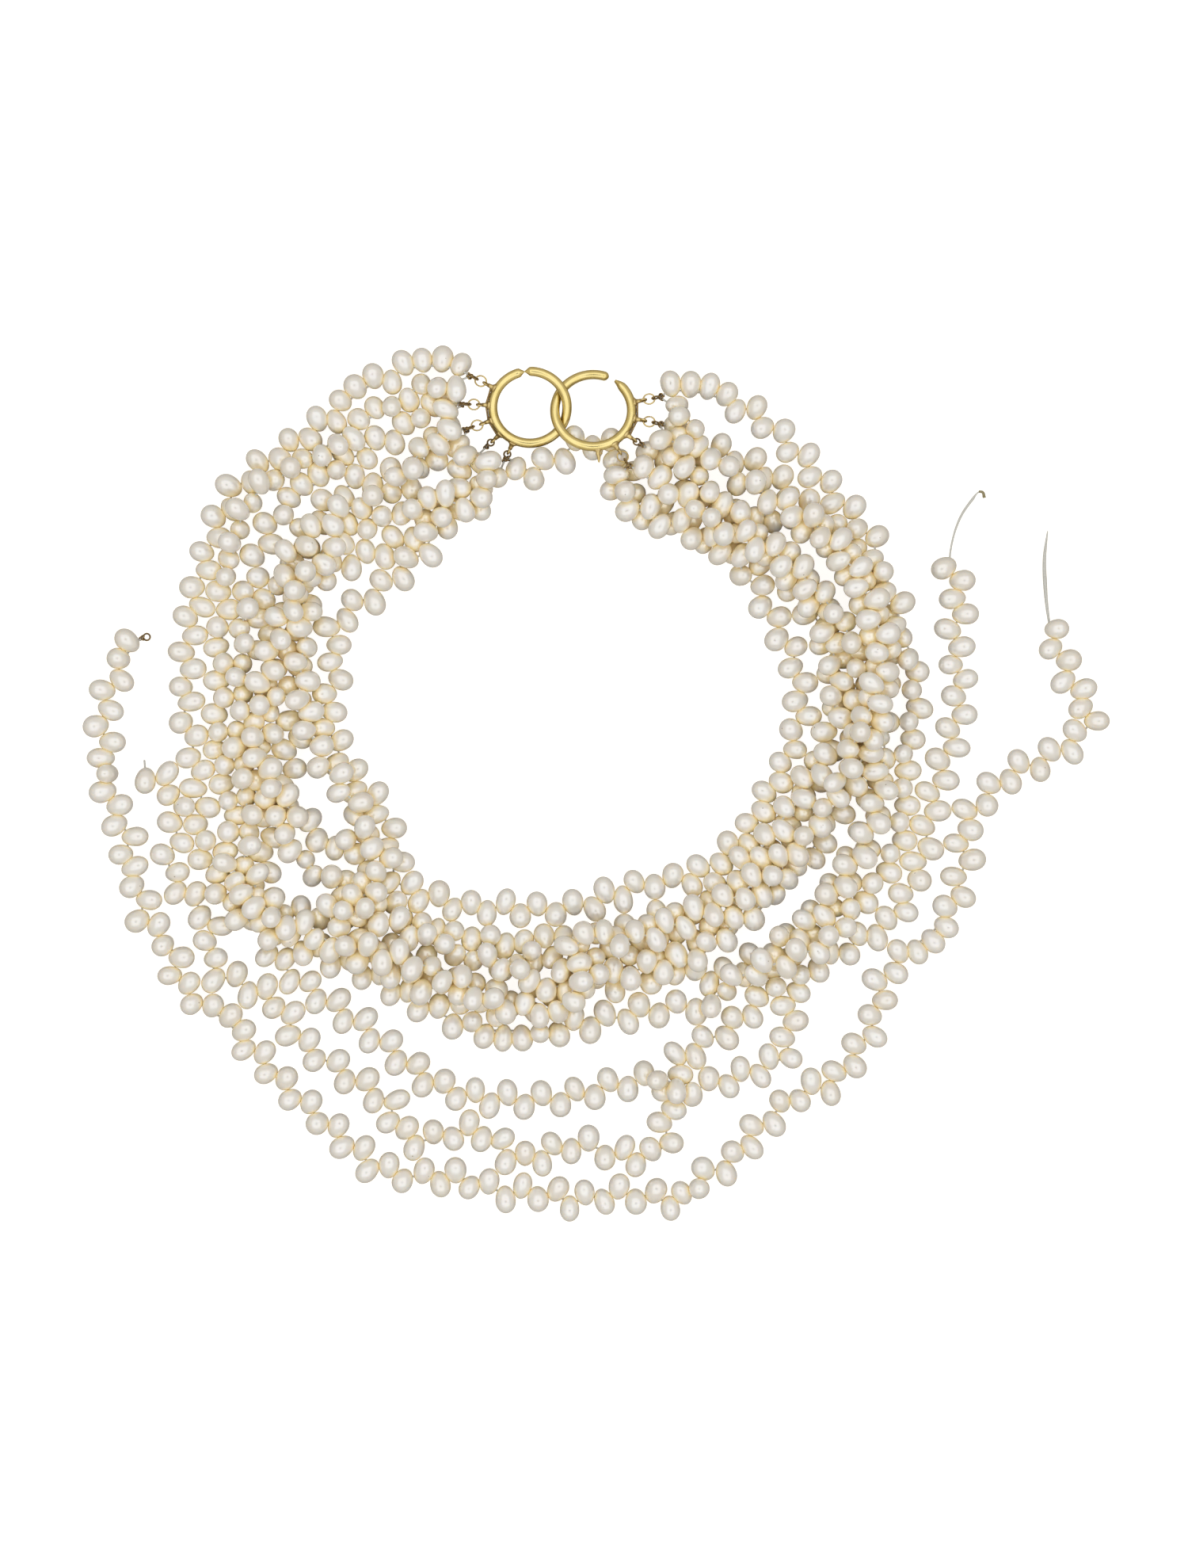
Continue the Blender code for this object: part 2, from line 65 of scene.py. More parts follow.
# One pearl: an egg, drilled across near its narrow tip.
PEARL_LENGTH = 6.7
PEARL_WIDTH = 5.2
SIZE_SPREAD = 0.04  # of its length and of its width, from pearl to pearl
WIDEST = 0.57  # where it is widest, as a share of its length from the tip
DRILL = 1.6  # from the tip to the thread's hole
TABLE_GAP = 0.02  # the least height of a pearl above the table
TIP_BALL = 0.55  # from the hole to the centre of the ball that stands for the narrow end
TIP_BALL_SHARE = 0.41  # that ball's radius, as a share of the pearl's width
PEARL_GAP = 0.05
LAYER_HEIGHT = 2.6  # between strands before they drop
THREAD_DIAMETER = 0.5
THREAD_STEP = 1.2  # between a thread's points

# The clasp, as in the CAD but for its thicker jump ring wire. Radii are to the middle of the wire.
CLASP_WIRE = 2.4
CLASP_HEIGHT = 4.6  # of the rings' centres above the table
CLASP_MARGIN = 0.2  # that pearls keep from the rings
LEFT_RING = {"centre": (-16.2, 95.1), "radius": 9.4, "tilt": 18.0, "posts": (151, 177, 199.5, 223, 245)}
RIGHT_RING = {"centre": (-0.2, 94.3), "radius": 9.7, "tilt": -18.0, "posts": (12.4, -12, -37.5, -59)}
BROKEN_POST_ANGLE = -84
NECK_ANGLE = 98  # of the left ring's thin neck
SLOT_ANGLE = 61  # of the right ring's slot
SLOT_HALF_ANGLE = 5.5
EYE_REACH = 2.1  # from the ring's outside to the eye's centre
EYE_RADIUS = 0.7
EYE_WIRE = 0.5
JUMP_RING_RADIUS = 1.45
JUMP_RING_WIRE = 0.4
LOOP_RADIUS = 0.85  # of the wound wire loop that guards each thread's end
LOOP_WIRE = 0.4
LOOP_OFFSET = 0.2
WINDING_WIRE = 0.17  # the fine wire wound round a loop
WINDING_CORE = 0.32  # what it is wound round
LINKED_POSTS = {"left": (1, 2, 3), "right": (1, 2, 4)}
SWING_ROOM = 6.0  # that each clasp ring turns either way
LOOSE_LOOP = (-113.2, 37.2)

# The clasp post, or the loose loop, that each end of a strand's thread is tied to, and None for a bare end.
TIED_TO = {
    1: ("loose", None),
    2: (("left", 5), None),
    3: (None, ("left", 5)),
    4: (("left", 1), ("right", 1)),
    5: (("left", 1), ("right", 1)),
    6: (("left", 2), ("right", 2)),
    7: (("left", 2), ("right", 2)),
    8: (("left", 3), ("right", 3)),
    9: (("left", 3), ("right", 4)),
    10: (("left", 4), ("right", 4)),
}

# The middle line of each strand on the table, from its left end to its right end.
ROUTES = {
    1: [
        (-117.6, 35), (-124.5, 17), (-122, 4), (-122, -5), (-118, -13), (-118, -21.5), (-115, -25.5),
        (-113.5, -34.5), (-107, -41), (-105, -49.5), (-91.5, -61.5), (-84.5, -69), (-77, -77.5),
        (-63.5, -89.5), (-55, -97), (-50.5, -98.5), (-34.5, -99.5), (-23, -103), (-11.5, -103.5),
        (-6, -105.5), (4.5, -103.5), (24.5, -104.5), (26.5, -100.5), (35, -95), (41, -87.5),
        (53.5, -77.5), (59, -76.5), (65.5, -69), (71, -59.5), (73, -49.5), (80, -41.5), (89, -33.5),
        (93.5, -18.5), (92.5, -13.5), (105, 2.5), (115, 6.5), (125.5, 16.5), (121, 25), (117, 34.5),
        (115.5, 39),
    ],
    2: [
        (-25.5, 77), (-30, 71.5), (-42, 64.5), (-56, 58), (-66, 56), (-73.5, 50), (-77, 40),
        (-76.5, 29), (-77, 18), (-79, 7), (-80, -6), (-84, -20), (-84.5, -30), (-81, -42),
        (-72.5, -51.5), (-61, -59.5), (-49.5, -68.5), (-41, -75.5), (-30.5, -79), (-7.5, -79.5),
        (3, -76.5), (14, -74.5), (25, -76.5), (35, -74.5), (45, -70.5), (49, -67.5), (49, -58),
        (51.5, -48.5), (66.5, -40), (75, -32.5), (79, -27.5), (83, -16.5), (85, -5.5), (92.5, 20.5),
        (91, 36.5), (92.5, 46.5), (90, 55.5),
    ],
    3: [
        (-113, 2.5), (-106, -1.5), (-104.5, -10), (-107.5, -19.5), (-106, -24), (-96.5, -35.5),
        (-97, -45.5), (-88.5, -51), (-79.5, -55.5), (-74.5, -64.5), (-65.5, -71.5), (-51.5, -81.5),
        (-47, -90), (-32.5, -87.5), (-27, -88.5), (-19.5, -95), (-4.5, -91), (6, -93.5), (16, -93.5),
        (19, -79.5), (22, -69.5), (35, -61), (43, -53), (49, -43.5), (57, -34.5), (68.5, -13.5),
        (71, -1.5), (69.5, 4.5), (65, 15.5), (62, 26.5), (58.5, 38), (49, 52.5), (39.5, 60), (22, 67.5),
        (11, 70.5), (7, 73.5), (8, 81.5), (1.5, 86), (-3.5, 86.4), (-9.5, 82.5), (-20.5, 77.5),
    ],
    4: [
        (-35.5, 106), (-41.5, 107), (-51, 103.5), (-61, 98), (-69.5, 89.5), (-85, 79), (-89.5, 74.5),
        (-95.5, 63.5), (-99, 52.5), (-101, 35.5), (-103, 18.5), (-99.5, 2), (-99, -15), (-95.5, -26),
        (-87, -35), (-76.5, -39.5), (-59.5, -46.5), (-33, -59.5), (-15, -61.5), (2, -59.5), (13, -57),
        (28.5, -55.5), (36, -48), (52.5, -42), (62.5, -35.5), (69, -26), (76.5, -17), (77.5, -11.5),
        (77, 7), (80, 19), (80.5, 25.5), (77, 37.5), (69, 60.5), (58, 76), (45, 90), (39.5, 94.5),
        (28.5, 99), (20.5, 99.5),
    ],
    5: [
        (-35.5, 101), (-47, 98), (-57, 92), (-61, 88.5), (-70.5, 82), (-81.5, 77), (-87.5, 72.5),
        (-91.5, 61.5), (-93, 52), (-94.5, 39), (-93.5, 22.5), (-94, 11), (-92, 0), (-91, -10),
        (-92, -18), (-89, -26), (-81, -33), (-73, -37.5), (-56, -42), (-45, -45), (-29.5, -53.5),
        (-13, -57), (-4, -51.5), (-5.5, -42), (-2.5, -39), (8, -39.5), (22.5, -34.5), (37.5, -27.5),
        (47, -19.5), (55.5, -10), (62, 1), (69.5, 19), (73, 30.5), (71, 42.5), (66, 53.5), (58, 63.5),
        (51, 68.5), (35.5, 78), (23.5, 89), (20, 95.5),
    ],
    6: [
        (-37, 97.5), (-45, 92), (-57.5, 84.5), (-74, 74), (-82.5, 63.5), (-86, 51), (-88.5, 38.5),
        (-87, 27), (-89, 10.5), (-86, -8), (-88, -19), (-84.5, -28.5), (-72, -33.5), (-60, -30.5),
        (-45, -38), (-29.5, -43.5), (-19, -46.5), (-9, -52), (-0.5, -47.5), (5, -48.5), (14.5, -45.5),
        (19, -45.5), (28.5, -41), (37, -33.5), (50.5, -23), (57, -13), (63, -3), (67, 8.5),
        (70.5, 19.5), (72.5, 31.5), (70.5, 43), (65.5, 54), (59, 62.5), (49.5, 68), (40, 68),
        (30.5, 72.5), (24, 80), (19.5, 86.5),
    ],
    7: [
        (-37, 94), (-39, 88.5), (-45, 82), (-50, 75.5), (-62.5, 69.5), (-73, 61.5), (-80, 50.5),
        (-84, 39), (-83, 29), (-81, 20), (-84, 5.5), (-81, -6), (-76, -16), (-71, -22), (-59.5, -26),
        (-52.5, -31), (-37.5, -35.5), (-21, -40.5), (-12, -46.5), (-7, -47.5), (2, -43.5),
        (12.5, -41.5), (27.5, -37.5), (32, -34), (40, -25.5), (47, -16.5), (55, -1.5), (60, 10),
        (62, 28), (60, 39.5), (53, 49.5), (45.5, 58), (31.5, 66.5), (24, 74.5), (20.5, 84.5),
        (20.5, 91),
    ],
    8: [
        (-36, 89.5), (-45.5, 76.5), (-54.5, 77.5), (-63, 73.5), (-71, 66), (-75, 56), (-72.5, 44),
        (-74, 32), (-74.5, 21), (-70, 9), (-63.5, 0), (-58.5, -9), (-58.5, -20), (-62, -30.5),
        (-61, -35.5), (-53, -42), (-42.5, -45.5), (-33.5, -53), (-23.5, -57.5), (-18, -56.5),
        (-4.5, -47.5), (5, -51.5), (19, -45.5), (28.5, -49.5), (38, -47.5), (56, -33.5), (63.5, -23.5),
        (69.5, -12), (72.5, 0), (70.5, 17), (73, 34.5), (72, 45.5), (66, 56.5), (58.5, 65.5),
        (49.5, 73.5), (35, 83), (30, 84.5), (15, 82.5),
    ],
    9: [
        (-34.5, 86), (-27.5, 79), (-31, 71), (-40.5, 71.5), (-51.5, 66), (-60.5, 66), (-68.5, 58.5),
        (-75.5, 48.5), (-80, 37), (-84.5, 20.5), (-85, 9), (-82.5, 1), (-77, -8), (-68.5, -13.5),
        (-64.5, -15.5), (-56.5, -12), (-52.5, -19.5), (-54.5, -23.5), (-64, -34), (-59, -42.5),
        (-49, -47.5), (-32, -52.5), (-22, -48), (-15.5, -41.5), (-11, -40), (-1, -40.5), (18.5, -34),
        (33, -26), (41, -17.5), (45, -13), (55.5, 2.5), (65, 11), (70, 22), (67, 33), (61, 42.5),
        (52.5, 52.5), (43.5, 59.5), (34.5, 63.5), (25, 70), (12.5, 79),
    ],
    10: [
        (-30, 80.5), (-38, 72), (-42, 62.5), (-45, 58.5), (-52, 51), (-61, 45), (-65, 41.5),
        (-66.5, 36.5), (-65, 31.5), (-67, 21), (-67.5, 16), (-64, 6), (-54.5, -7.5), (-52, -12),
        (-51, -22), (-47.5, -27), (-43, -29.5), (-32, -32), (-21, -31.5), (-9.5, -32.5), (-4, -31.5),
        (6.5, -27.5), (12, -26), (23, -24.5), (33, -19.5), (37.5, -15.5), (43.5, -6), (50.5, 9.5),
        (53, 21), (50.5, 32.5), (45, 42), (41, 52), (33.5, 60), (23, 64.5), (7, 73), (6.5, 77.5),
    ],
}

# The order in which the strands lie, from the table up.
LAID_ORDER = (3, 1, 2, 10, 8, 4, 7, 9, 6, 5)

# Points (x, y, z) that a bare end of a thread passes over the table.
BARE_ENDS = {
    1: [(114.6, 45, 0.8), (114.2, 50, 0.6), (114, 57, 0.6), (114.8, 64, 0.6)],
    2: [
        (90.8, 62, 0.8), (93, 68, 0.4), (96, 72.3, 0.4), (97.4, 74, 0.4), (98.4, 73.8, 0.4),
        (98.8, 72.4, 0.4),
    ],
    3: [(-113.6, 4.6, 1.2), (-113.8, 6, 0.6)],
}
LOOSE_NODES = {1: "loose_thread_2", 2: "loose_thread_1"}
# Where the bare silk has spread: (shares of its length, widths there in thread diameters).
TAIL_WIDTHS = {
    1: ((0, 0.2, 0.5, 0.8, 1), (1.0, 1.5, 2.1, 1.6, 0.6)),
    2: ((0, 0.4, 0.8, 0.95, 1), (1.0, 1.1, 1.4, 1.5, 0.8)),
}
BRACED_POSTS = {"left": ((1, 2), (2, 3), (3, 4)), "right": ((1, 2), (2, 3))}

FLIPPED_STRANDS = (3,)  # whose first pearl lies on the other side of the thread
SLANT = 0.2  # how far a pearl may lean along its thread, as a sine
TIE_LENGTH = 3.2  # the most thread between a loop and its first pearl's hole
KNOT_SIZE = 0.6
KNOT_WIRE = 0.42
KNOT_GAP = 0.03  # the least height of a knot above the table
KNOT_REACH = 0.5  # from where the thread leaves its loop
TETHER_START = 0.3  # how far inside the loop a tether begins
TETHER_POINTS = 12

EGG_RINGS = 15
EGG_SIDES = 24
LUMP = 0.008  # of a pearl's radius
GROOVE = 0.03  # the deepest, of a pearl's radius
GROOVE_WIDTH = 0.35
GROOVED_SHARE = 0.3  # of all pearls

# The studio, in metres and watts.
CAMERA_HEIGHT = 2.0
FOCUS_HEIGHT = 0.005  # of the plane in which the picture spans VIEW_HEIGHT
VIEW_HEIGHT = 0.3958
LIGHT_HEIGHT = 1.5
LIGHT_SIZE = 3.0
LIGHT_POWER = 18.5
SKY_STRENGTH = 0.76
HOOD_HEIGHT = 1.4
HOOD_RADIUS = 0.22
TABLE_SIZE = 6
TABLE_DROP = 0.00002  # of the table's top below the frame's z of 0
TABLE_GLOW = 0.9  # the strength of the light that it gives the camera

# ---------------------------------------------------------------- lines and frames


def between(p, q, start, end, t):
    """The point at t on the line that is at p at start and at q at end."""
    return ((end - t) * p + (t - start) * q) / (end - start)


def smooth_line(points, spacing):
    """Points at even spacing on the centripetal Catmull-Rom curve through the given points."""
    per_span = 12
    given = np.array(points, float)
    ends = (2 * given[0] - given[1], 2 * given[-1] - given[-2])
    given = np.vstack([ends[0], given, ends[1]])
    line = []
    for a, b, c, d in zip(given, given[1:], given[2:], given[3:]):
        spans = ((a, b), (b, c), (c, d))
        knots = np.cumsum([0] + [np.linalg.norm(q - p) ** 0.5 for p, q in spans])
        for t in np.linspace(knots[1], knots[2], per_span, endpoint=False):
            first = [between(p, q, knots[i], knots[i + 1], t) for i, (p, q) in enumerate(spans)]
            second = [between(first[i], first[i + 1], knots[i], knots[i + 2], t) for i in range(2)]
            line.append(between(second[0], second[1], knots[1], knots[2], t))
    return resampled(np.array(line + [given[-2]]), spacing)


def line_length(line):
    return float(np.linalg.norm(np.diff(line, axis=0), axis=1).sum())


def lengths_along(line):
    """How far along a line each of its points is."""
    return np.concatenate([[0], np.cumsum(np.linalg.norm(np.diff(line, axis=0), axis=1))])


def resampled(line, spacing):
    """The same line with its points at even spacing."""
    along = lengths_along(line)
    even = np.linspace(0, along[-1], max(2, round(along[-1] / spacing) + 1))
    return np.column_stack([np.interp(even, along, line[:, axis]) for axis in range(line.shape[1])])


def unit(vectors):
    return vectors / np.maximum(np.linalg.norm(vectors, axis=-1, keepdims=True), 1e-9)


def ring_matrix(ring):
    """From a clasp ring's own plane to the frame."""
    centre = (ring["centre"][0] - MIDDLE[0], ring["centre"][1] - MIDDLE[1], CLASP_HEIGHT)
    return Matrix.Translation(centre) @ Matrix.Rotation(math.radians(ring["tilt"]), 4, "X")


def in_ring(ring, degrees, radius, height=0.0):
    """A point at this angle and radius in a ring's plane, in the frame."""
    angle = math.radians(degrees)
    flat = Vector((radius * math.cos(angle), radius * math.sin(angle), height))
    return np.array(ring_matrix(ring) @ flat)


def ring_of(side):
    return LEFT_RING if side == "left" else RIGHT_RING


def outside_of(ring):
    return ring["radius"] + CLASP_WIRE / 2


def loop_reach(side, number):
    """From a clasp ring's outside to the far end of that post's thread loop."""
    if number in LINKED_POSTS[side]:
        return EYE_REACH + 2 * JUMP_RING_RADIUS + LOOP_OFFSET + LOOP_RADIUS + LOOP_WIRE / 2
    return EYE_REACH + 2 * LOOP_RADIUS + LOOP_WIRE / 2


def tie_point(tie):
    """Where a thread leaves its loop."""
    if tie == "loose":
        return np.array((LOOSE_LOOP[0] - MIDDLE[0] - LOOP_RADIUS, LOOSE_LOOP[1] - MIDDLE[1], 0.6))
    side, number = tie
    ring = ring_of(side)
    return in_ring(ring, ring["posts"][number - 1], outside_of(ring) + loop_reach(side, number))


# ---------------------------------------------------------------- laying the pearls


def egg_radius(along, length, width):
    """An egg's radius at this distance from its tip."""
    widest = WIDEST * length
    semi = np.where(along < widest, widest, length - widest)
    return width / 2 * np.sqrt(np.maximum(1 - ((along - widest) / semi) ** 2, 0))


def clasp_balls():
    """Balls (x, y, z, radius) over the clasp and the room in which its posts and links move."""
    balls = []
    for side, ring in (("left", LEFT_RING), ("right", RIGHT_RING)):
        wire = [in_ring(ring, degrees, ring["radius"]) for degrees in range(0, 360, 5)]
        balls += [(*point, CLASP_WIRE / 2 + CLASP_MARGIN) for point in wire]
        for number, post in enumerate(ring["posts"], 1):
            for reach in np.arange(0.8, loop_reach(side, number), 0.7):
                swept = (post - SWING_ROOM, post, post + SWING_ROOM)
                balls += [(*in_ring(ring, angle, outside_of(ring) + reach), EYE_RADIUS) for angle in swept]
    stub_radius = 0.8
    for reach in np.arange(0.5, 3.5, 0.6):
        balls.append((*in_ring(RIGHT_RING, BROKEN_POST_ANGLE, outside_of(RIGHT_RING) + reach), stub_radius))
    return np.array(balls)


def thread_pearls(random):
    """The pearls of every strand, in a row along its route, stacked above the table in LAID_ORDER."""
    least_spacing, route_step, tilt_spread = 3, 0.5, 0.6
    rows = []
    for layer, number in enumerate(LAID_ORDER):
        route = smooth_line(ROUTES[number], route_step) - MIDDLE
        along = lengths_along(route)
        most = int(along[-1] / least_spacing)
        length = PEARL_LENGTH * (1 + SIZE_SPREAD * np.clip(random.normal(size=most), -2, 2))
        width = PEARL_WIDTH * (1 + SIZE_SPREAD * np.clip(random.normal(size=most), -2, 2))
        neck = egg_radius(np.full(most, DRILL), length, width)
        station = np.concatenate([[0], np.cumsum(neck[:-1] + neck[1:] + PEARL_GAP)])
        count = int(np.searchsorted(station, along[-1]))
        station *= along[-1] / station[count - 1]
        place = np.column_stack([np.interp(station[:count], along, route[:, axis]) for axis in (0, 1)])
        ahead = unit(np.gradient(place, axis=0))
        side = np.where(np.arange(count) % 2 == (number in FLIPPED_STRANDS), 1.0, -1.0)
        tilt = random.normal(0, tilt_spread, count)
        outward = np.column_stack([
            -ahead[:, 1] * side * np.cos(tilt), ahead[:, 0] * side * np.cos(tilt), np.sin(tilt),
        ])
        hole = np.column_stack([place, np.full(count, LAYER_HEIGHT + LAYER_HEIGHT * layer)])
        arm = length[:count] - width[:count] / 2 - DRILL
        rows.append({
            "strand": number, "hole": hole, "fat": hole + outward * arm[:, None], "arm": arm,
            "length": length[:count], "width": width[:count], "spacing": np.diff(station[:count]),
        })
    return rows


def lay_pearls(random):
    """Drops all pearls onto the table and onto each other, and adds each one's final place to its row.

    A pearl is two points, its hole and the middle of its fat end, with a ball at each end. In each step it is
    lowered and drawn back towards its route, and then balls that overlap push each other apart.
    """
    steps, lowering, holding = 700, 0.11, 0.12
    calm_steps, calm = 180, 0.12  # the last steps, and the share of the lowering and drawing in them
    look_every, look_reach, look_margin = 10, 7.5, 2  # steps, and how near balls are then watched
    tie_pull, thread_pull, push_gain = 0.3, 0.4, 1.2
    fat_share = 0.6  # of a pearl's weight, when its two points are set back to their distance
    rows = thread_pearls(random)
    keys = ("hole", "fat", "arm", "width")
    hole, fat, arm, width = (np.concatenate([row[key] for row in rows]) for key in keys)
    owner = np.repeat(np.arange(len(rows)), [len(row["arm"]) for row in rows])
    count = len(owner)
    station = hole[:, :2].copy()
    linked = np.flatnonzero(owner[:-1] == owner[1:])
    spacing = np.concatenate([row["spacing"] for row in rows])
    before = np.where(np.append(False, owner[:-1] == owner[1:]), np.arange(count) - 1, np.arange(count))
    after = np.where(np.append(owner[:-1] == owner[1:], False), np.arange(count) + 1, np.arange(count))
    lever = TIP_BALL / arm
    radius = np.concatenate([width * TIP_BALL_SHARE, width / 2])  # at the narrow ends, then at the fat ends
    pearl = np.tile(np.arange(count), 2)
    tip_share = np.concatenate([1 - lever, np.zeros(count)])
    clasp = clasp_balls()
    ends = [
        (index, tie_point(tie))
        for number, row in enumerate(rows)
        for index, tie in zip(np.flatnonzero(owner == number)[[0, -1]], TIED_TO[row["strand"]])
        if tie is not None
    ]

    def push(balls, moves, weight):
        """Adds each ball's move to its pearl's two points."""
        for axis in range(3):
            shift = moves[:, axis]
            hole_move[:, axis] += np.bincount(pearl[balls], shift * tip_share[balls], count)
            fat_move[:, axis] += np.bincount(pearl[balls], shift * (1 - tip_share[balls]), count)
        hole_weight[:] += np.bincount(pearl[balls], weight * tip_share[balls], count)
        fat_weight[:] += np.bincount(pearl[balls], weight * (1 - tip_share[balls]), count)

    for step in range(steps):
        ease = 1.0 if step < steps - calm_steps else calm
        shift = holding * ease * (station - hole[:, :2])
        for points in (hole, fat):
            points[:, 2] -= lowering * ease
            points[:, :2] += shift
        for index, tie in ends:
            gap = tie - hole[index]
            distance = np.linalg.norm(gap)
            hole[index] += gap * tie_pull * max(distance - TIE_LENGTH, 0) / distance
        tips = hole + (fat - hole) * lever[:, None]
        balls = np.vstack([tips, fat])
        if step % look_every == 0:
            far = np.sum(balls**2, axis=1)
            apart = np.sqrt(np.maximum(far[:, None] + far[None] - 2 * balls @ balls.T, 0))
            one, other = np.nonzero(np.triu(apart < look_reach, 1))
            along = np.abs(pearl[one] - pearl[other])
            same_strand = owner[pearl[one]] == owner[pearl[other]]
            both_tips = (one < count) & (other < count)
            keep = (along > 0) & ~((along == 1) & same_strand & both_tips)
            one, other = one[keep], other[keep]
            reach = radius[one] + radius[other]
            off_clasp = np.linalg.norm(balls[:, None] - clasp[None, :, :3], axis=2)
            by_clasp, part = np.nonzero(off_clasp < clasp[None, :, 3] + radius[:, None] + look_margin)
        for _ in range(3):
            stretch = hole[linked + 1] - hole[linked]
            now = np.linalg.norm(stretch, axis=1)
            fix = stretch * ((now - spacing) / now)[:, None] * thread_pull
            np.add.at(hole, linked, fix)
            np.add.at(hole, linked + 1, -fix)
            tips = hole + (fat - hole) * lever[:, None]
            balls = np.vstack([tips, fat])
            hole_move, fat_move = np.zeros_like(hole), np.zeros_like(fat)
            hole_weight, fat_weight = np.zeros(count), np.zeros(count)
            line = balls[one] - balls[other]
            distance = np.maximum(np.linalg.norm(line, axis=1), 1e-6)
            deep = reach - distance
            hit = deep > 0
            moves = line[hit] * (deep[hit] / (2 * distance[hit]))[:, None]
            ones = np.ones(hit.sum())
            push(one[hit], moves, ones)
            push(other[hit], -moves, ones)
            line = balls[by_clasp] - clasp[part, :3]
            distance = np.maximum(np.linalg.norm(line, axis=1), 1e-6)
            deep = clasp[part, 3] + radius[by_clasp] - distance
            hit = deep > 0
            moves = line[hit] * (deep[hit] / distance[hit])[:, None]
            push(by_clasp[hit], moves, np.ones(hit.sum()))
            hole += push_gain * hole_move / np.maximum(hole_weight, 1)[:, None]
            fat += push_gain * fat_move / np.maximum(fat_weight, 1)[:, None]
            fat[:, 2] = np.maximum(fat[:, 2], radius[count:])
            lack = np.maximum(radius[:count] - (hole[:, 2] + (fat[:, 2] - hole[:, 2]) * lever), 0)
            hole[:, 2] += lack
            ahead = unit(hole[after] - hole[before])
            axis = unit(fat - hole)
            slant = np.sum(axis * ahead, axis=1)
            axis = unit(axis - ahead * (slant - np.clip(slant, -SLANT, SLANT))[:, None])
            middle = hole * (1 - fat_share) + fat * fat_share
            fat[:] = middle + axis * ((1 - fat_share) * arm)[:, None]
            hole[:] = middle - axis * (fat_share * arm)[:, None]
    for number, row in enumerate(rows):
        mine = owner == number
        row["hole"], row["fat"], row["ahead"] = hole[mine], fat[mine], ahead[mine]
    return rows


# ---------------------------------------------------------------- meshes


def add_mesh(name, points, faces, material, body):
    """A piece from points in millimetres, riding on a CAD body unless that is None."""
    mesh = bpy.data.meshes.new(name)
    mesh.from_pydata((np.asarray(points, float) * MM).tolist(), [], faces)
    mesh.validate()
    mesh.materials.append(material)
    mesh.shade_smooth()
    obj = bpy.data.objects.new(name, mesh)
    bpy.context.scene.collection.objects.link(obj)
    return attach(obj, body) if body else obj


def joined(parts):
    """Several (points, faces) as one."""
    points, faces, offset = [], [], 0
    for some, theirs in parts:
        points.append(np.asarray(some, float))
        faces += [tuple(index + offset for index in face) for face in theirs]
        offset += len(some)
    return np.vstack(points), faces


def sweep(line, wide, high=None, up=None, sides=12, closed=False):
    """A tube along a line: its half width across and its half height along up, at each point."""
    line = np.asarray(line, float)
    count = len(line)
    wide = np.broadcast_to(np.asarray(wide, float), (count,))
    high = wide if high is None else np.broadcast_to(np.asarray(high, float), (count,))
    if closed:
        ahead = unit(np.roll(line, -1, axis=0) - np.roll(line, 1, axis=0))
    else:
        ahead = unit(np.gradient(line, axis=0))
    if up is None:
        upward = np.zeros_like(line)
        start = np.array((0.0, 0.0, 1.0)) if abs(ahead[0][2]) < 0.9 else np.array((1.0, 0.0, 0.0))
        for index in range(count):
            start = unit(start - ahead[index] * (start @ ahead[index]))
            upward[index] = start
    else:
        upward = unit(up - ahead * np.sum(up * ahead, axis=1)[:, None])
    across = np.cross(ahead, upward)
    angles = np.linspace(0, 2 * math.pi, sides, endpoint=False)
    rings = (
        line[:, None]
        + across[:, None] * (np.cos(angles)[None, :, None] * wide[:, None, None])
        + upward[:, None] * (np.sin(angles)[None, :, None] * high[:, None, None])
    )
    points = rings.reshape(-1, 3)
    faces = []
    for ring in range(count if closed else count - 1):
        after = (ring + 1) % count
        for side in range(sides):
            turn = (side + 1) % sides
            near, far = ring * sides, after * sides
            faces.append((near + turn, near + side, far + side, far + turn))
    if not closed:
        faces.append(tuple(range(sides)))
        faces.append(tuple(reversed(range((count - 1) * sides, count * sides))))
    return points, faces


def torus(centre, axis_one, axis_two, radius, wire, turns, sides, gap=0.0, oval=1.0):
    """A ring of round wire in the plane of two axes. A gap leaves it open, as a bent ring is."""
    start, end = math.radians(gap / 2), 2 * math.pi - math.radians(gap / 2)
    if gap:
        angles = np.linspace(start, end, turns + 1)
    else:
        angles = np.linspace(0, 2 * math.pi, turns, endpoint=False)
    circle = np.outer(np.cos(angles), axis_one) + oval * np.outer(np.sin(angles), axis_two)
    line = centre + radius * circle
    normal = np.cross(axis_one, axis_two)
    return sweep(line, wire / 2, up=np.tile(normal, (len(line), 1)), sides=sides, closed=not gap)


# ---------------------------------------------------------------- pearls and threads


def egg_grid():
    """An egg's latitudes and longitudes in radians, and the faces that join them."""
    latitudes = np.linspace(0, math.pi, EGG_RINGS + 2)[1:-1]
    longitudes = np.linspace(0, 2 * math.pi, EGG_SIDES, endpoint=False)
    tip, end = EGG_RINGS * EGG_SIDES, EGG_RINGS * EGG_SIDES + 1
    faces = []
    for side in range(EGG_SIDES):
        after = (side + 1) % EGG_SIDES
        faces.append((tip, after, side))
        last = (EGG_RINGS - 1) * EGG_SIDES
        faces.append((last + side, last + after, end))
        for ring in range(EGG_RINGS - 1):
            low, high = ring * EGG_SIDES, (ring + 1) * EGG_SIDES
            faces.append((low + side, low + after, high + after, high + side))
    return latitudes, longitudes, faces


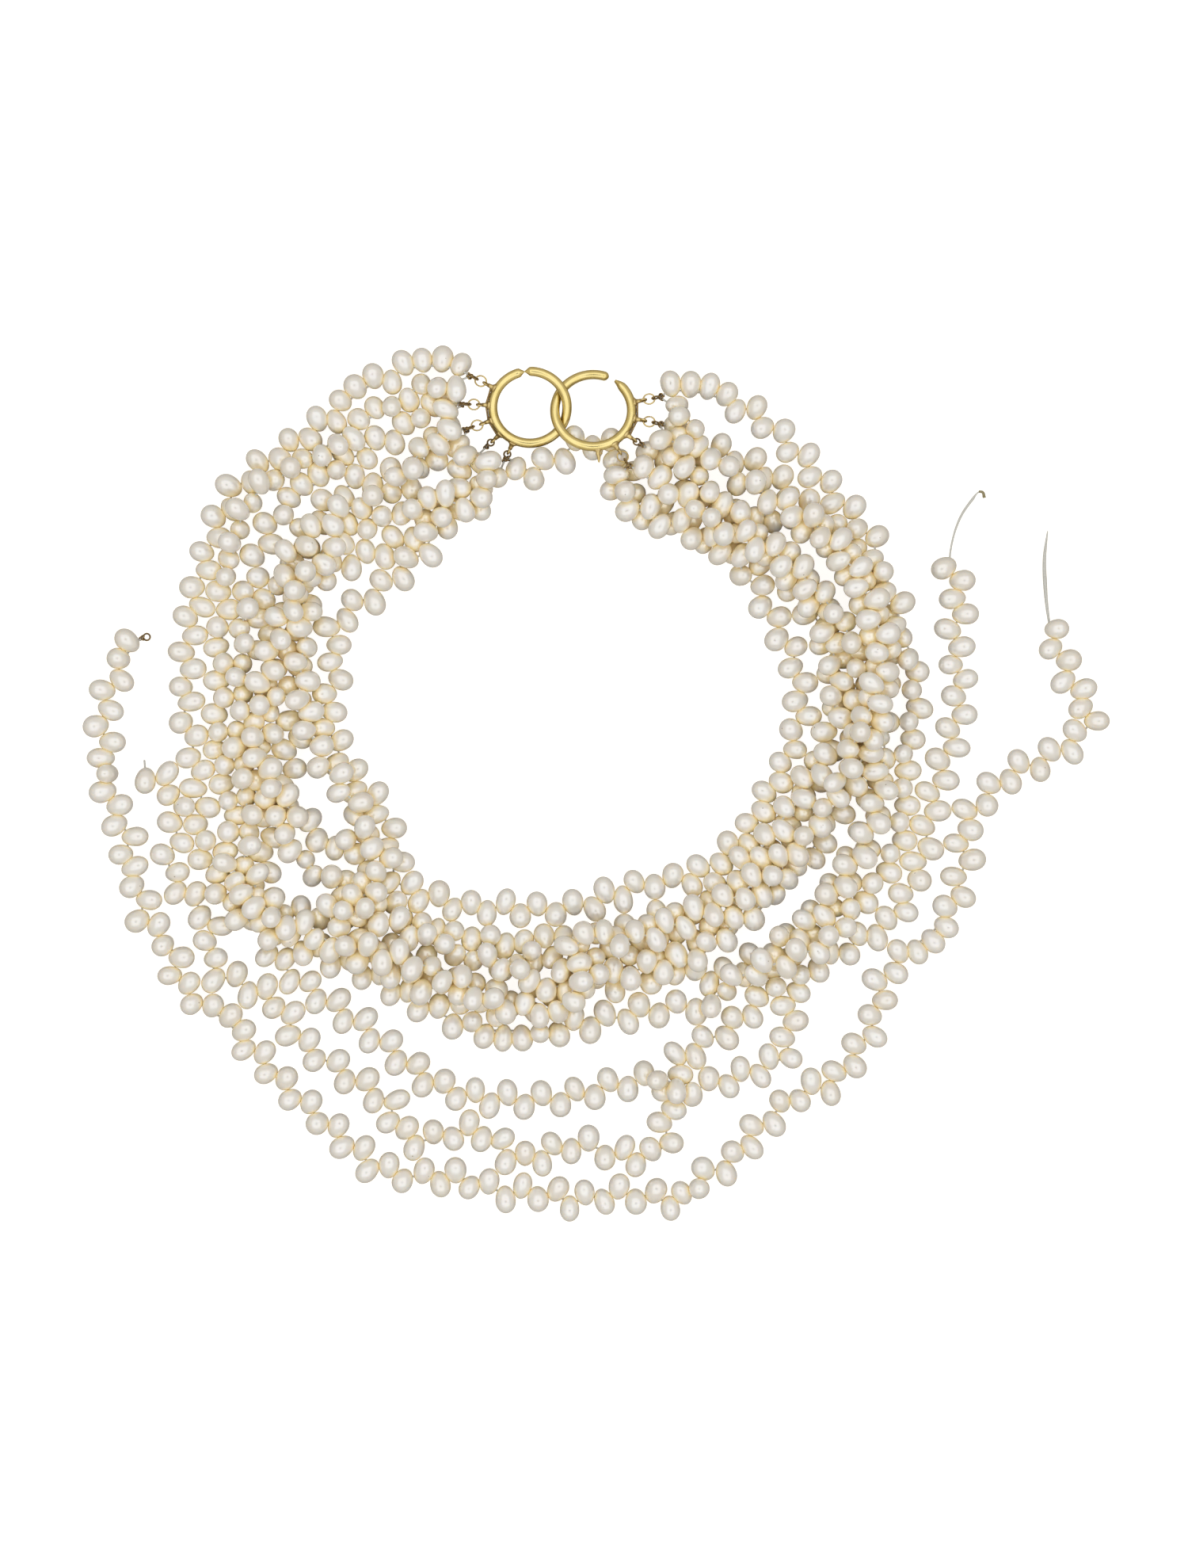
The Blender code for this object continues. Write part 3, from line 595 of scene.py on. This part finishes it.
def make_pearls(row, random, material):
    """All pearls of one strand as one mesh, each with its own slight bumps, dents and tone."""
    latitudes, longitudes, egg_faces = egg_grid()
    points, faces, tones = [], [], []
    per_egg = EGG_RINGS * EGG_SIDES + 2
    for index in range(len(row["hole"])):
        length, width = row["length"][index], row["width"][index]
        axis = unit(row["fat"][index] - row["hole"][index])
        side = unit(np.cross(axis, np.cross(row["ahead"][index], axis)))
        third = np.cross(axis, side)
        tip = row["hole"][index] - axis * DRILL
        along = -np.cos(latitudes)
        widest = WIDEST * length
        distance = widest + along * np.where(along < 0, widest, length - widest)
        bump = 1 + sum(
            random.normal(0, LUMP)
            * np.outer(np.sin(latitudes) ** 2, np.cos(waves * longitudes + random.uniform(0, 6)))
            for waves in (1, 2, 3)
        )
        groove = random.uniform(0, GROOVE) * (random.random() < GROOVED_SHARE)
        place = random.uniform(0.3, 0.8) * length
        bump -= (groove * np.exp(-(((distance - place) / GROOVE_WIDTH) ** 2)))[:, None]
        radius = (width / 2 * np.sin(latitudes))[:, None] * bump
        around = np.cos(longitudes)[:, None] * side + np.sin(longitudes)[:, None] * third
        body = tip + distance[:, None, None] * axis + radius[:, :, None] * around[None]
        egg = np.vstack([body.reshape(-1, 3), tip, tip + axis * length])
        egg[:, 2] += max(TABLE_GAP - egg[:, 2].min(), 0)
        points.append(egg)
        faces += [tuple(corner + index * per_egg for corner in face) for face in egg_faces]
        tones.append(np.full(per_egg, random.random()))
    name = f"pearl_strand_{row['strand']}"
    obj = add_mesh(f"{name}_pearls", np.vstack(points), faces, material, "strands")
    tone = obj.data.attributes.new("tone", "FLOAT", "POINT")
    tone.data.foreach_set("value", np.concatenate(tones).astype(np.float32))
    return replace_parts(obj, name)


def end_points(strand, end):
    """The points that a strand's thread passes beyond its first pearl (end 0) or its last one (end 1)."""
    tie = TIED_TO[strand][end]
    if tie is not None:
        return [tie_point(tie)]
    return [np.array((x - MIDDLE[0], y - MIDDLE[1], z)) for x, y, z in BARE_ENDS[strand]]


def make_thread(row, material):
    """The thread through all of a strand's pearls, with its bare tail where the strand has come off."""
    strand = row["strand"]
    before, after = end_points(strand, 0), end_points(strand, 1)
    line = smooth_line([*before[::-1], *row["hole"], *after], THREAD_STEP)
    line[:, 2] = np.maximum(line[:, 2], 0.7 * THREAD_DIAMETER)  # a frayed tail is wider than the rest
    name = f"thread_{strand}"
    curve = bpy.data.curves.new(name, "CURVE")
    curve.dimensions = "3D"
    curve.bevel_depth = THREAD_DIAMETER / 2 * MM
    curve.bevel_resolution = 2
    curve.use_fill_caps = True
    spline = curve.splines.new("POLY")
    spline.points.add(len(line) - 1)
    weighted = np.column_stack([line * MM, np.ones(len(line))])
    spline.points.foreach_set("co", weighted.astype(np.float32).ravel())
    tail = TAIL_WIDTHS.get(strand)
    if tail:
        bare = np.linalg.norm(line - row["hole"][-1], axis=1)
        tail_length = line_length(np.vstack([row["hole"][-1], *after]))
        past = np.arange(len(line)) > len(line) - 3 - tail_length / THREAD_STEP
        share = np.clip(bare / bare[-1], 0, 1)
        widths = np.where(past, np.interp(share, *tail), 1.0)
        spline.points.foreach_set("radius", widths.astype(np.float32))
    curve.materials.append(material)
    obj = bpy.data.objects.new(name, curve)
    bpy.context.scene.collection.objects.link(obj)
    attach(obj, "strands")
    if strand in LOOSE_NODES:
        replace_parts(obj, LOOSE_NODES[strand])


def make_knot(name, place, outward, material):
    """A small overhand knot of the wound wire, where a thread leaves its loop: a trefoil curve."""
    t = np.linspace(0, 2 * math.pi, 48, endpoint=False)
    along = (np.sin(t) + 2 * np.sin(2 * t)) / 3
    aside = (np.cos(t) - 2 * np.cos(2 * t)) / 3
    side = unit(np.cross(outward, (0, 0, 1.0)))
    over = np.cross(side, outward)
    line = place + KNOT_SIZE * (
        np.outer(along, outward) * 1.3 + np.outer(aside, side) + np.outer(-np.sin(3 * t), over) * 0.6
    )
    points, faces = sweep(line, KNOT_WIRE / 2, sides=8, closed=True)
    points[:, 2] += max(KNOT_GAP - points[:, 2].min(), 0)
    add_mesh(name, points, faces, material, "strands")


def make_tether(name, start, end, material):
    """The thread from a loop to its knot."""
    points, faces = sweep(np.linspace(start, end, TETHER_POINTS), THREAD_DIAMETER / 2, sides=8)
    obj = add_mesh(name, points, faces, material, None)
    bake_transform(obj)


def tie_strand(row, knot_material, thread_material):
    """A knot at each tied end of a strand and, where it is tied to the clasp, a tether from its loop."""
    name = f"pearl_strand_{row['strand']}"
    for number, tie, place in zip((1, 2), TIED_TO[row["strand"]], (row["hole"][0], row["hole"][-1])):
        if tie is None:
            continue
        start = tie_point(tie)
        outward = unit(place - start)
        knot = start + outward * KNOT_REACH
        make_knot(f"{name}_knot_{number}", knot, outward, knot_material)
        if tie != "loose":
            inside = start - outward * TETHER_START
            make_tether(f"{name}_tether_{number}", inside, knot, thread_material)


def make_stained_tip(material):
    """The brown, hooked end of the second strand's bare thread."""
    line = smooth_line(end_points(2, 1)[-3:], 0.3)
    points, faces = sweep(line, np.linspace(0.3, 0.42, len(line)), sides=12)
    points[:, 2] += max(TABLE_GAP - points[:, 2].min(), 0)
    add_mesh("thread_2_stained_tip", points, faces, material, "strands")


# ---------------------------------------------------------------- clasp


def ring_axes(ring):
    """The two directions in a ring's plane, and its normal."""
    turned = np.array(ring_matrix(ring).to_3x3())
    return turned[:, 0], turned[:, 1], turned[:, 2]


def ring_wire(ring, angles, wide, high, closed=False):
    """A clasp ring's wire, with these half widths and half heights at these angles."""
    line = np.array([in_ring(ring, degrees, ring["radius"]) for degrees in angles])
    up = np.tile(ring_axes(ring)[2], (len(line), 1))
    return sweep(line, wide, high, up, sides=28, closed=closed)


def make_left_ring(material):
    """Nearly a full circle of polished wire. Its two ends are cut like chisels and meet in a thin neck."""
    stretches = ((0, 14, 15), (16, 344, 130), (346, 359, 14))
    past = np.concatenate([np.linspace(*stretch) for stretch in stretches])
    off = np.minimum(past, 360 - past)
    wide = np.interp(off, (0, 1.2, 7.5, 11), (0.1, 0.2, 0.93, 1)) * CLASP_WIRE / 2
    high = np.interp(off, (0, 2, 9, 12), (0.35, 0.5, 0.97, 1)) * CLASP_WIRE / 2
    points, faces = ring_wire(LEFT_RING, NECK_ANGLE + past, wide, high, closed=True)
    obj = add_mesh("left_ring_wire", points, faces, material, "left_clasp")
    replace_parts(obj, "left_clasp_ring")


def make_right_ring(material):
    """An open circle: one end of its wire is rounded, and the other is cut to a bevelled point."""
    span = 360 - 2 * SLOT_HALF_ANGLE
    stretches = ((0, 8, 12), (10, span - 16, 130), (span - 14, span, 14))
    past = np.concatenate([np.linspace(*stretch) for stretch in stretches])
    arc = np.radians(past) * RIGHT_RING["radius"]
    left = (span - past) * math.pi / 180 * RIGHT_RING["radius"]
    half = CLASP_WIRE / 2
    round_end = half * np.sqrt(np.clip(1 - (1 - np.clip(arc / half, 0.04, 1)) ** 2, 0, 1))
    wide = np.minimum(round_end, np.interp(left, (0, 2.2, 3), (0.3 * half, 0.95 * half, half)))
    high = np.minimum(round_end, np.interp(left, (0, 1.6, 2.6), (0.35 * half, 0.95 * half, half)))
    points, faces = ring_wire(RIGHT_RING, SLOT_ANGLE + SLOT_HALF_ANGLE + past, wide, high)
    obj = add_mesh("right_ring_wire", points, faces, material, "right_clasp")
    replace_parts(obj, "right_clasp_ring")


def ring_frame(ring, degrees):
    """A ring's centre, the directions outward and along the ring at this angle, and the ring's normal."""
    east, north, normal = ring_axes(ring)
    angle = math.radians(degrees)
    outward = math.cos(angle) * east + math.sin(angle) * north
    return np.array(ring_matrix(ring).translation), outward, np.cross(normal, outward), normal


def make_post(side, number, degrees, material):
    """A tapered bar with a fillet of solder at its foot and an eye at its end."""
    ring = ring_of(side)
    centre, outward, _, normal = ring_frame(ring, degrees)
    stations = np.array((-0.5, -0.05, 0.15, 0.4, 0.8, EYE_REACH - EYE_RADIUS + 0.1))
    wide = (1.35, 1.2, 0.88, 0.66, 0.56, 0.5)
    line = centre + np.outer(outside_of(ring) + stations, outward)
    up = np.tile(normal, (len(line), 1))
    bar = sweep(line, wide, np.array(wide) * 0.85, up, sides=14)
    middle = centre + outward * (outside_of(ring) + EYE_REACH)
    eye = torus(middle, outward, normal, EYE_RADIUS, EYE_WIRE * 1.1, 28, 10)
    points, faces = joined([bar, eye])
    obj = add_mesh(f"{side}_post_bar_{number}", points, faces, material, f"{side}_clasp")
    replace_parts(obj, f"{side}_post_{number}")


def make_broken_post(random, material):
    """A post that has lost its eye: a jagged stub."""
    centre, outward, along_ring, normal = ring_frame(RIGHT_RING, BROKEN_POST_ANGLE)
    spine = np.array((-0.5, 0.0, 0.3, 0.8, 1.3, 1.9, 2.4, 2.9, 3.25))
    wide = np.array((1.1, 0.9, 0.62, 0.5, 0.47, 0.42, 0.36, 0.22, 0.06))
    sway = np.array((0, 0, 0.02, -0.04, 0.03, 0.1, 0.05, -0.05, -0.02))
    line = centre + np.outer(outside_of(RIGHT_RING) + spine, outward) + np.outer(sway, along_ring)
    bar = sweep(line, wide, wide * 0.8, np.tile(normal, (len(line), 1)), sides=14)
    aside = np.outer((0.2, 0.55, 0.85, 1.0), along_ring)
    back = np.outer((-0.3, -0.5, -1.0, -1.4), outward)
    burr = sweep(line[3:7] + aside + back, (0.3, 0.25, 0.18, 0.05), up=np.tile(normal, (4, 1)), sides=10)
    points, faces = joined([bar, burr])
    points = points + random.normal(0, 0.025, points.shape)
    obj = add_mesh("right_broken_stub", points, faces, material, "right_clasp")
    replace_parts(obj, "right_broken_post")


def make_solder_bars(side, material):
    """Thin bars that brace neighbouring posts at their feet."""
    ring = ring_of(side)
    parts = []
    for pair in BRACED_POSTS[side]:
        ends = [in_ring(ring, ring["posts"][number - 1], outside_of(ring) + 0.5, -0.25) for number in pair]
        line = np.array([ends[0] + (ends[1] - ends[0]) * share for share in np.linspace(0, 1, 7)])
        width = 0.24 + 0.05 * np.abs(np.linspace(-1, 1, 7)) ** 2
        parts.append(sweep(line, width, sides=10))
    points, faces = joined(parts)
    add_mesh(f"{side}_solder_bars", points, faces, material, f"{side}_clasp")


def make_jump_ring(side, number, material):
    """A thin, slightly oval ring of wire, through a post's eye and a thread loop."""
    ring = ring_of(side)
    centre, outward, along_ring, _ = ring_frame(ring, ring["posts"][number - 1])
    middle = centre + outward * (outside_of(ring) + EYE_REACH + JUMP_RING_RADIUS)
    points, faces = torus(
        middle, along_ring, outward, JUMP_RING_RADIUS * 0.93, JUMP_RING_WIRE, 48, 10, gap=3, oval=1.07,
    )
    obj = add_mesh(f"{side}_jump_wire_{number}", points, faces, material, f"{side}_jump_{number}")
    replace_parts(obj, f"{side}_jump_ring_{number}")


def wound_loop(middle, axis_one, axis_two):
    """Fine wire wound close round a loop of thread."""
    turns, per_turn = 30, 9
    t = np.linspace(0, 2 * math.pi, turns * per_turn, endpoint=False)
    radial = np.outer(np.cos(t), axis_one) + np.outer(np.sin(t), axis_two)
    normal = np.cross(axis_one, axis_two)
    out = LOOP_RADIUS + WINDING_WIRE * np.cos(turns * t)
    coil = radial * out[:, None] + np.outer(WINDING_WIRE * np.sin(turns * t), normal)
    wire = sweep(middle + coil, WINDING_WIRE / 2, sides=6, closed=True)
    return joined([wire, torus(middle, axis_one, axis_two, LOOP_RADIUS, WINDING_CORE, 36, 8)])


def make_thread_loop(side, number, material):
    """The wound loop on a post: through its jump ring, or straight through its eye."""
    ring = ring_of(side)
    centre, outward, along_ring, normal = ring_frame(ring, ring["posts"][number - 1])
    if number in LINKED_POSTS[side]:
        reach, other = EYE_REACH + 2 * JUMP_RING_RADIUS + LOOP_OFFSET, normal
    else:
        reach, other = EYE_REACH + LOOP_RADIUS, along_ring
    points, faces = wound_loop(centre + outward * (outside_of(ring) + reach), outward, other)
    body = f"{side}_loop_{number}"
    obj = add_mesh(f"{side}_wound_loop_{number}", points, faces, material, body)
    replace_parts(obj, f"{side}_thread_loop_{number}")


def make_loose_loop(material):
    """The wound loop on the first strand's loose end, lying flat."""
    low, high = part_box("loose_thread_loop")
    middle = np.array((low + high) / 2) / MM + (0, 0, 0.06)
    points, faces = wound_loop(middle, np.array((1.0, 0, 0)), np.array((0, 1.0, 0)))
    obj = add_mesh("loose_wound_loop", points, faces, material, "loose_loop")
    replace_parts(obj, "loose_thread_loop")


# ---------------------------------------------------------------- materials


def node(tree, kind, inputs, **settings):
    """A shader node. Each of its inputs, by name or number, gets a value or a link from a socket."""
    made = tree.nodes.new(kind)
    for name, value in settings.items():
        setattr(made, name, value)
    for key, value in inputs.items():
        if isinstance(value, bpy.types.NodeSocket):
            tree.links.new(value, made.inputs[key])
        else:
            made.inputs[key].default_value = value
    return made


def ramp(tree, value, stops):
    """A colour ramp from (place, colour) pairs."""
    made = node(tree, "ShaderNodeValToRGB", {"Fac": value})
    made.color_ramp.elements.remove(made.color_ramp.elements[1])
    for index, (place, colour) in enumerate(stops):
        element = made.color_ramp.elements[0] if index == 0 else made.color_ramp.elements.new(place)
        element.position = place
        element.color = (*colour, 1)
    return made.outputs["Color"]


def mixed(tree, factor, one, other, blend="MIX"):
    """Two colours mixed, in a Mix node's colour sockets: inputs 6 and 7 and output 2."""
    inputs = {0: factor, 6: one, 7: other}
    return node(tree, "ShaderNodeMix", inputs, data_type="RGBA", blend_type=blend).outputs[2]


def new_material(name, **values):
    """A material, its node tree, its shader with these values, and the coordinates for its patterns."""
    made = bpy.data.materials.new(name)
    made.use_nodes = True
    tree = made.node_tree
    shader = tree.nodes["Principled BSDF"]
    for key, value in values.items():
        shader.inputs[key.replace("_", " ")].default_value = value
    place = node(tree, "ShaderNodeTexCoord", {}).outputs["Object"]
    return made, tree, shader, place


def noise(tree, place, size, detail=3.0, roughness=0.5):
    """Noise whose lumps are about this many millimetres across."""
    inputs = {"Vector": place, "Scale": 1 / (size * MM), "Detail": detail, "Roughness": roughness}
    return node(tree, "ShaderNodeTexNoise", inputs).outputs["Fac"]


def bumped(tree, shader, height, distance):
    """Gives the shader a bump map, in which a height of 1 stands for this many millimetres."""
    bump = node(tree, "ShaderNodeBump", {"Height": height, "Strength": 1.0, "Distance": distance * MM})
    tree.links.new(bump.outputs["Normal"], shader.inputs["Normal"])


def pearl_material():
    """Cream nacre that reflects more than glass, with painted deep gold light where pearls crowd together."""
    made, tree, shader, place = new_material(
        "pearl", IOR=2.8, Coat_Weight=0.3, Coat_Roughness=0.08, Subsurface_Weight=0.45,
        Subsurface_Scale=1.4 * MM, Subsurface_Radius=(1.0, 0.8, 0.55),
    )
    tone = node(tree, "ShaderNodeAttribute", {}, attribute_name="tone").outputs["Fac"]
    body = ramp(tree, tone, (
        (0, (0.69, 0.67, 0.635)), (0.35, (0.70, 0.695, 0.69)), (0.7, (0.695, 0.685, 0.67)),
        (1, (0.68, 0.655, 0.615)),
    ))
    patches = noise(tree, place, 4.0, 2.0)
    cloud = ramp(tree, patches, ((0.35, (1.0, 0.965, 0.95)), (0.65, (0.97, 0.985, 0.965))))
    body = mixed(tree, 0.6, body, cloud, "MULTIPLY")
    # Painted light: where pearls crowd together, a bright deep gold stands for the light passed between them.
    open_air = node(tree, "ShaderNodeAmbientOcclusion", {"Distance": 4 * MM}, samples=8)
    painted_light_mask = node(tree, "ShaderNodeMapRange", {
        "Value": open_air.outputs["AO"], "From Min": 0.9, "From Max": 0.25, "To Min": 0.0, "To Max": 1.0,
    })
    painted_crevice_light = (1, 0.86, 0.55, 1)
    body = mixed(tree, painted_light_mask.outputs["Result"], body, painted_crevice_light)
    # Small dark specks, darkest at their middles, scattered over the nacre.
    cells = node(tree, "ShaderNodeTexVoronoi", {"Vector": place, "Scale": 1 / (5.5 * MM)})
    speck_colours = ((0.0, (0.35, 0.3, 0.24)), (0.028, (0.5, 0.45, 0.38)), (0.045, (1, 1, 1)))
    dark_specks = ramp(tree, cells.outputs["Distance"], speck_colours)
    body = mixed(tree, 0.8, body, dark_specks, "MULTIPLY")
    tree.links.new(body, shader.inputs["Base Color"])
    wear = noise(tree, place, 2.0)
    rough = node(tree, "ShaderNodeMapRange", {"Value": wear, "To Min": 0.13, "To Max": 0.24})
    tree.links.new(rough.outputs["Result"], shader.inputs["Roughness"])
    bumped(tree, shader, noise(tree, place, 1.6, 3.0, 0.5), 0.03)
    return made


def gold_material(name, light, dark, rough, dent_depth):
    """Yellow gold, darker in patches, with painted shade in nooks and fine marks. rough is (least, most)
    roughness.
    """
    made, tree, shader, place = new_material(name, Metallic=1.0)
    patch = noise(tree, place, 2.5, 4.0)
    colour = ramp(tree, patch, ((0.3, dark), (0.55, light)))
    # Painted shade: the colour darkens in nooks, where shade falls.
    nook = node(tree, "ShaderNodeAmbientOcclusion", {"Distance": 1.4 * MM}, samples=6).outputs["AO"]
    painted_nook_shade = ramp(tree, nook, ((0.1, (0.4, 0.3, 0.15)), (0.6, (1, 1, 1))))
    tree.links.new(mixed(tree, 0.85, colour, painted_nook_shade, "MULTIPLY"), shader.inputs["Base Color"])
    fine = noise(tree, place, 0.5, 5.0, 0.6)
    gloss = node(tree, "ShaderNodeMapRange", {"Value": fine, "To Min": rough[0], "To Max": rough[1]})
    tree.links.new(gloss.outputs["Result"], shader.inputs["Roughness"])
    dents = noise(tree, place, 1.8, 3.0)
    height = node(tree, "ShaderNodeMath", {0: dents, 1: fine}, operation="ADD")
    bumped(tree, shader, height.outputs["Value"], dent_depth)
    return made


def silk_material(name, dark, light):
    """Silk, faintly fibrous."""
    made, tree, shader, place = new_material(name, Roughness=0.7, Sheen_Weight=0.3)
    fibres = noise(tree, place, 0.35, 5.0, 0.7)
    tree.links.new(ramp(tree, fibres, ((0.3, dark), (0.7, light))), shader.inputs["Base Color"])
    bumped(tree, shader, fibres, 0.08)
    return made


def floor_material():
    """Cream card to all that lies on it, and bright white in the picture."""
    made, tree, shader, place = new_material("floor", Roughness=0.9, Emission_Color=(1, 0.985, 0.96, 1))
    tint = ramp(tree, noise(tree, place, 120, 2.0), ((0.3, (0.41, 0.38, 0.33)), (0.7, (0.43, 0.40, 0.35))))
    tree.links.new(tint, shader.inputs["Base Color"])
    seen = node(tree, "ShaderNodeLightPath", {}).outputs["Is Camera Ray"]
    glow = node(tree, "ShaderNodeMath", {0: seen, 1: TABLE_GLOW}, operation="MULTIPLY")
    tree.links.new(glow.outputs["Value"], shader.inputs["Emission Strength"])
    return made


# ---------------------------------------------------------------- studio


def make_camera():
    """Straight above, as high as a long lens needs, so that the picture spans VIEW_HEIGHT of the table."""
    data = bpy.data.cameras.new("camera")
    data.sensor_width = 36
    data.lens = data.sensor_width * CAMERA_HEIGHT / VIEW_HEIGHT
    data.clip_start, data.clip_end = 0.01, 20
    camera = bpy.data.objects.new("camera", data)
    camera.location = (-MIDDLE[0] * MM, -MIDDLE[1] * MM, CAMERA_HEIGHT + FOCUS_HEIGHT)
    bpy.context.scene.collection.objects.link(camera)
    bpy.context.scene.camera = camera


def make_overhead_light():
    light = bpy.data.lights.new("overhead", "AREA")
    light.shape, light.size, light.energy = "SQUARE", LIGHT_SIZE, LIGHT_POWER
    obj = bpy.data.objects.new("overhead", light)
    obj.location = (0, 0, LIGHT_HEIGHT)
    obj.visible_camera = False
    bpy.context.scene.collection.objects.link(obj)


def make_sky():
    """White above, and warmer towards the ground and below it."""
    world = bpy.data.worlds.new("studio")
    world.use_nodes = True
    tree = world.node_tree
    place = node(tree, "ShaderNodeTexCoord", {}).outputs["Generated"]
    up = node(tree, "ShaderNodeSeparateXYZ", {"Vector": place}).outputs["Z"]
    sky = ramp(tree, up, ((0.1, (0.92, 0.8, 0.6)), (0.5, (0.94, 0.88, 0.76)), (0.8, (1, 1, 1))))
    back = tree.nodes["Background"]
    tree.links.new(sky, back.inputs["Color"])
    back.inputs["Strength"].default_value = SKY_STRENGTH
    bpy.context.scene.world = world


def make_studio():
    """A white table under a large soft light, and over it the dark lens hood that glosses reflect."""
    make_overhead_light()
    make_sky()
    bpy.ops.mesh.primitive_circle_add(
        vertices=32, radius=HOOD_RADIUS, fill_type="NGON", location=(0, 0, HOOD_HEIGHT),
    )
    hood = bpy.context.active_object
    hood.name = "lens_hood"
    hood.visible_camera = hood.visible_shadow = hood.visible_diffuse = False
    black = new_material("hood_black", Roughness=0.8, Base_Color=(0.02, 0.02, 0.02, 1))[0]
    hood.data.materials.append(black)
    bpy.ops.mesh.primitive_plane_add(size=TABLE_SIZE, location=(0, 0, -TABLE_DROP))
    floor = bpy.context.active_object
    floor.name = "table"
    floor.data.materials.append(floor_material())
    scene = bpy.context.scene
    scene.view_settings.view_transform = "Standard"
    scene.cycles.diffuse_bounces, scene.cycles.glossy_bounces = 12, 8  # light reaches deep between the pearls


# ---------------------------------------------------------------- the necklace

make_camera()
make_studio()
random = np.random.default_rng(SEED)
pearl = pearl_material()
silk = silk_material("silk", (0.42, 0.42, 0.40), (0.60, 0.60, 0.57))
stain = silk_material("stained_silk", (0.16, 0.13, 0.06), (0.33, 0.29, 0.16))
gold = gold_material("gold", (0.74, 0.61, 0.27), (0.68, 0.55, 0.21), (0.17, 0.24), 0.0015)
worn_gold = gold_material("worn_gold", (0.66, 0.52, 0.24), (0.38, 0.27, 0.11), (0.24, 0.42), 0.02)
dark_gold = gold_material("dark_gold", (0.36, 0.25, 0.11), (0.14, 0.09, 0.05), (0.3, 0.5), 0.04)
for row in lay_pearls(random):
    pearls = make_pearls(row, random, pearl)
    make_thread(row, silk)
    tie_strand(row, dark_gold, silk)
make_stained_tip(stain)
make_left_ring(gold)
make_right_ring(gold)
for side in ("left", "right"):
    for number, degrees in enumerate(ring_of(side)["posts"], 1):
        make_post(side, number, degrees, worn_gold)
        make_thread_loop(side, number, dark_gold)
        if number in LINKED_POSTS[side]:
            make_jump_ring(side, number, worn_gold)
    make_solder_bars(side, dark_gold)
make_broken_post(random, worn_gold)
make_loose_loop(dark_gold)
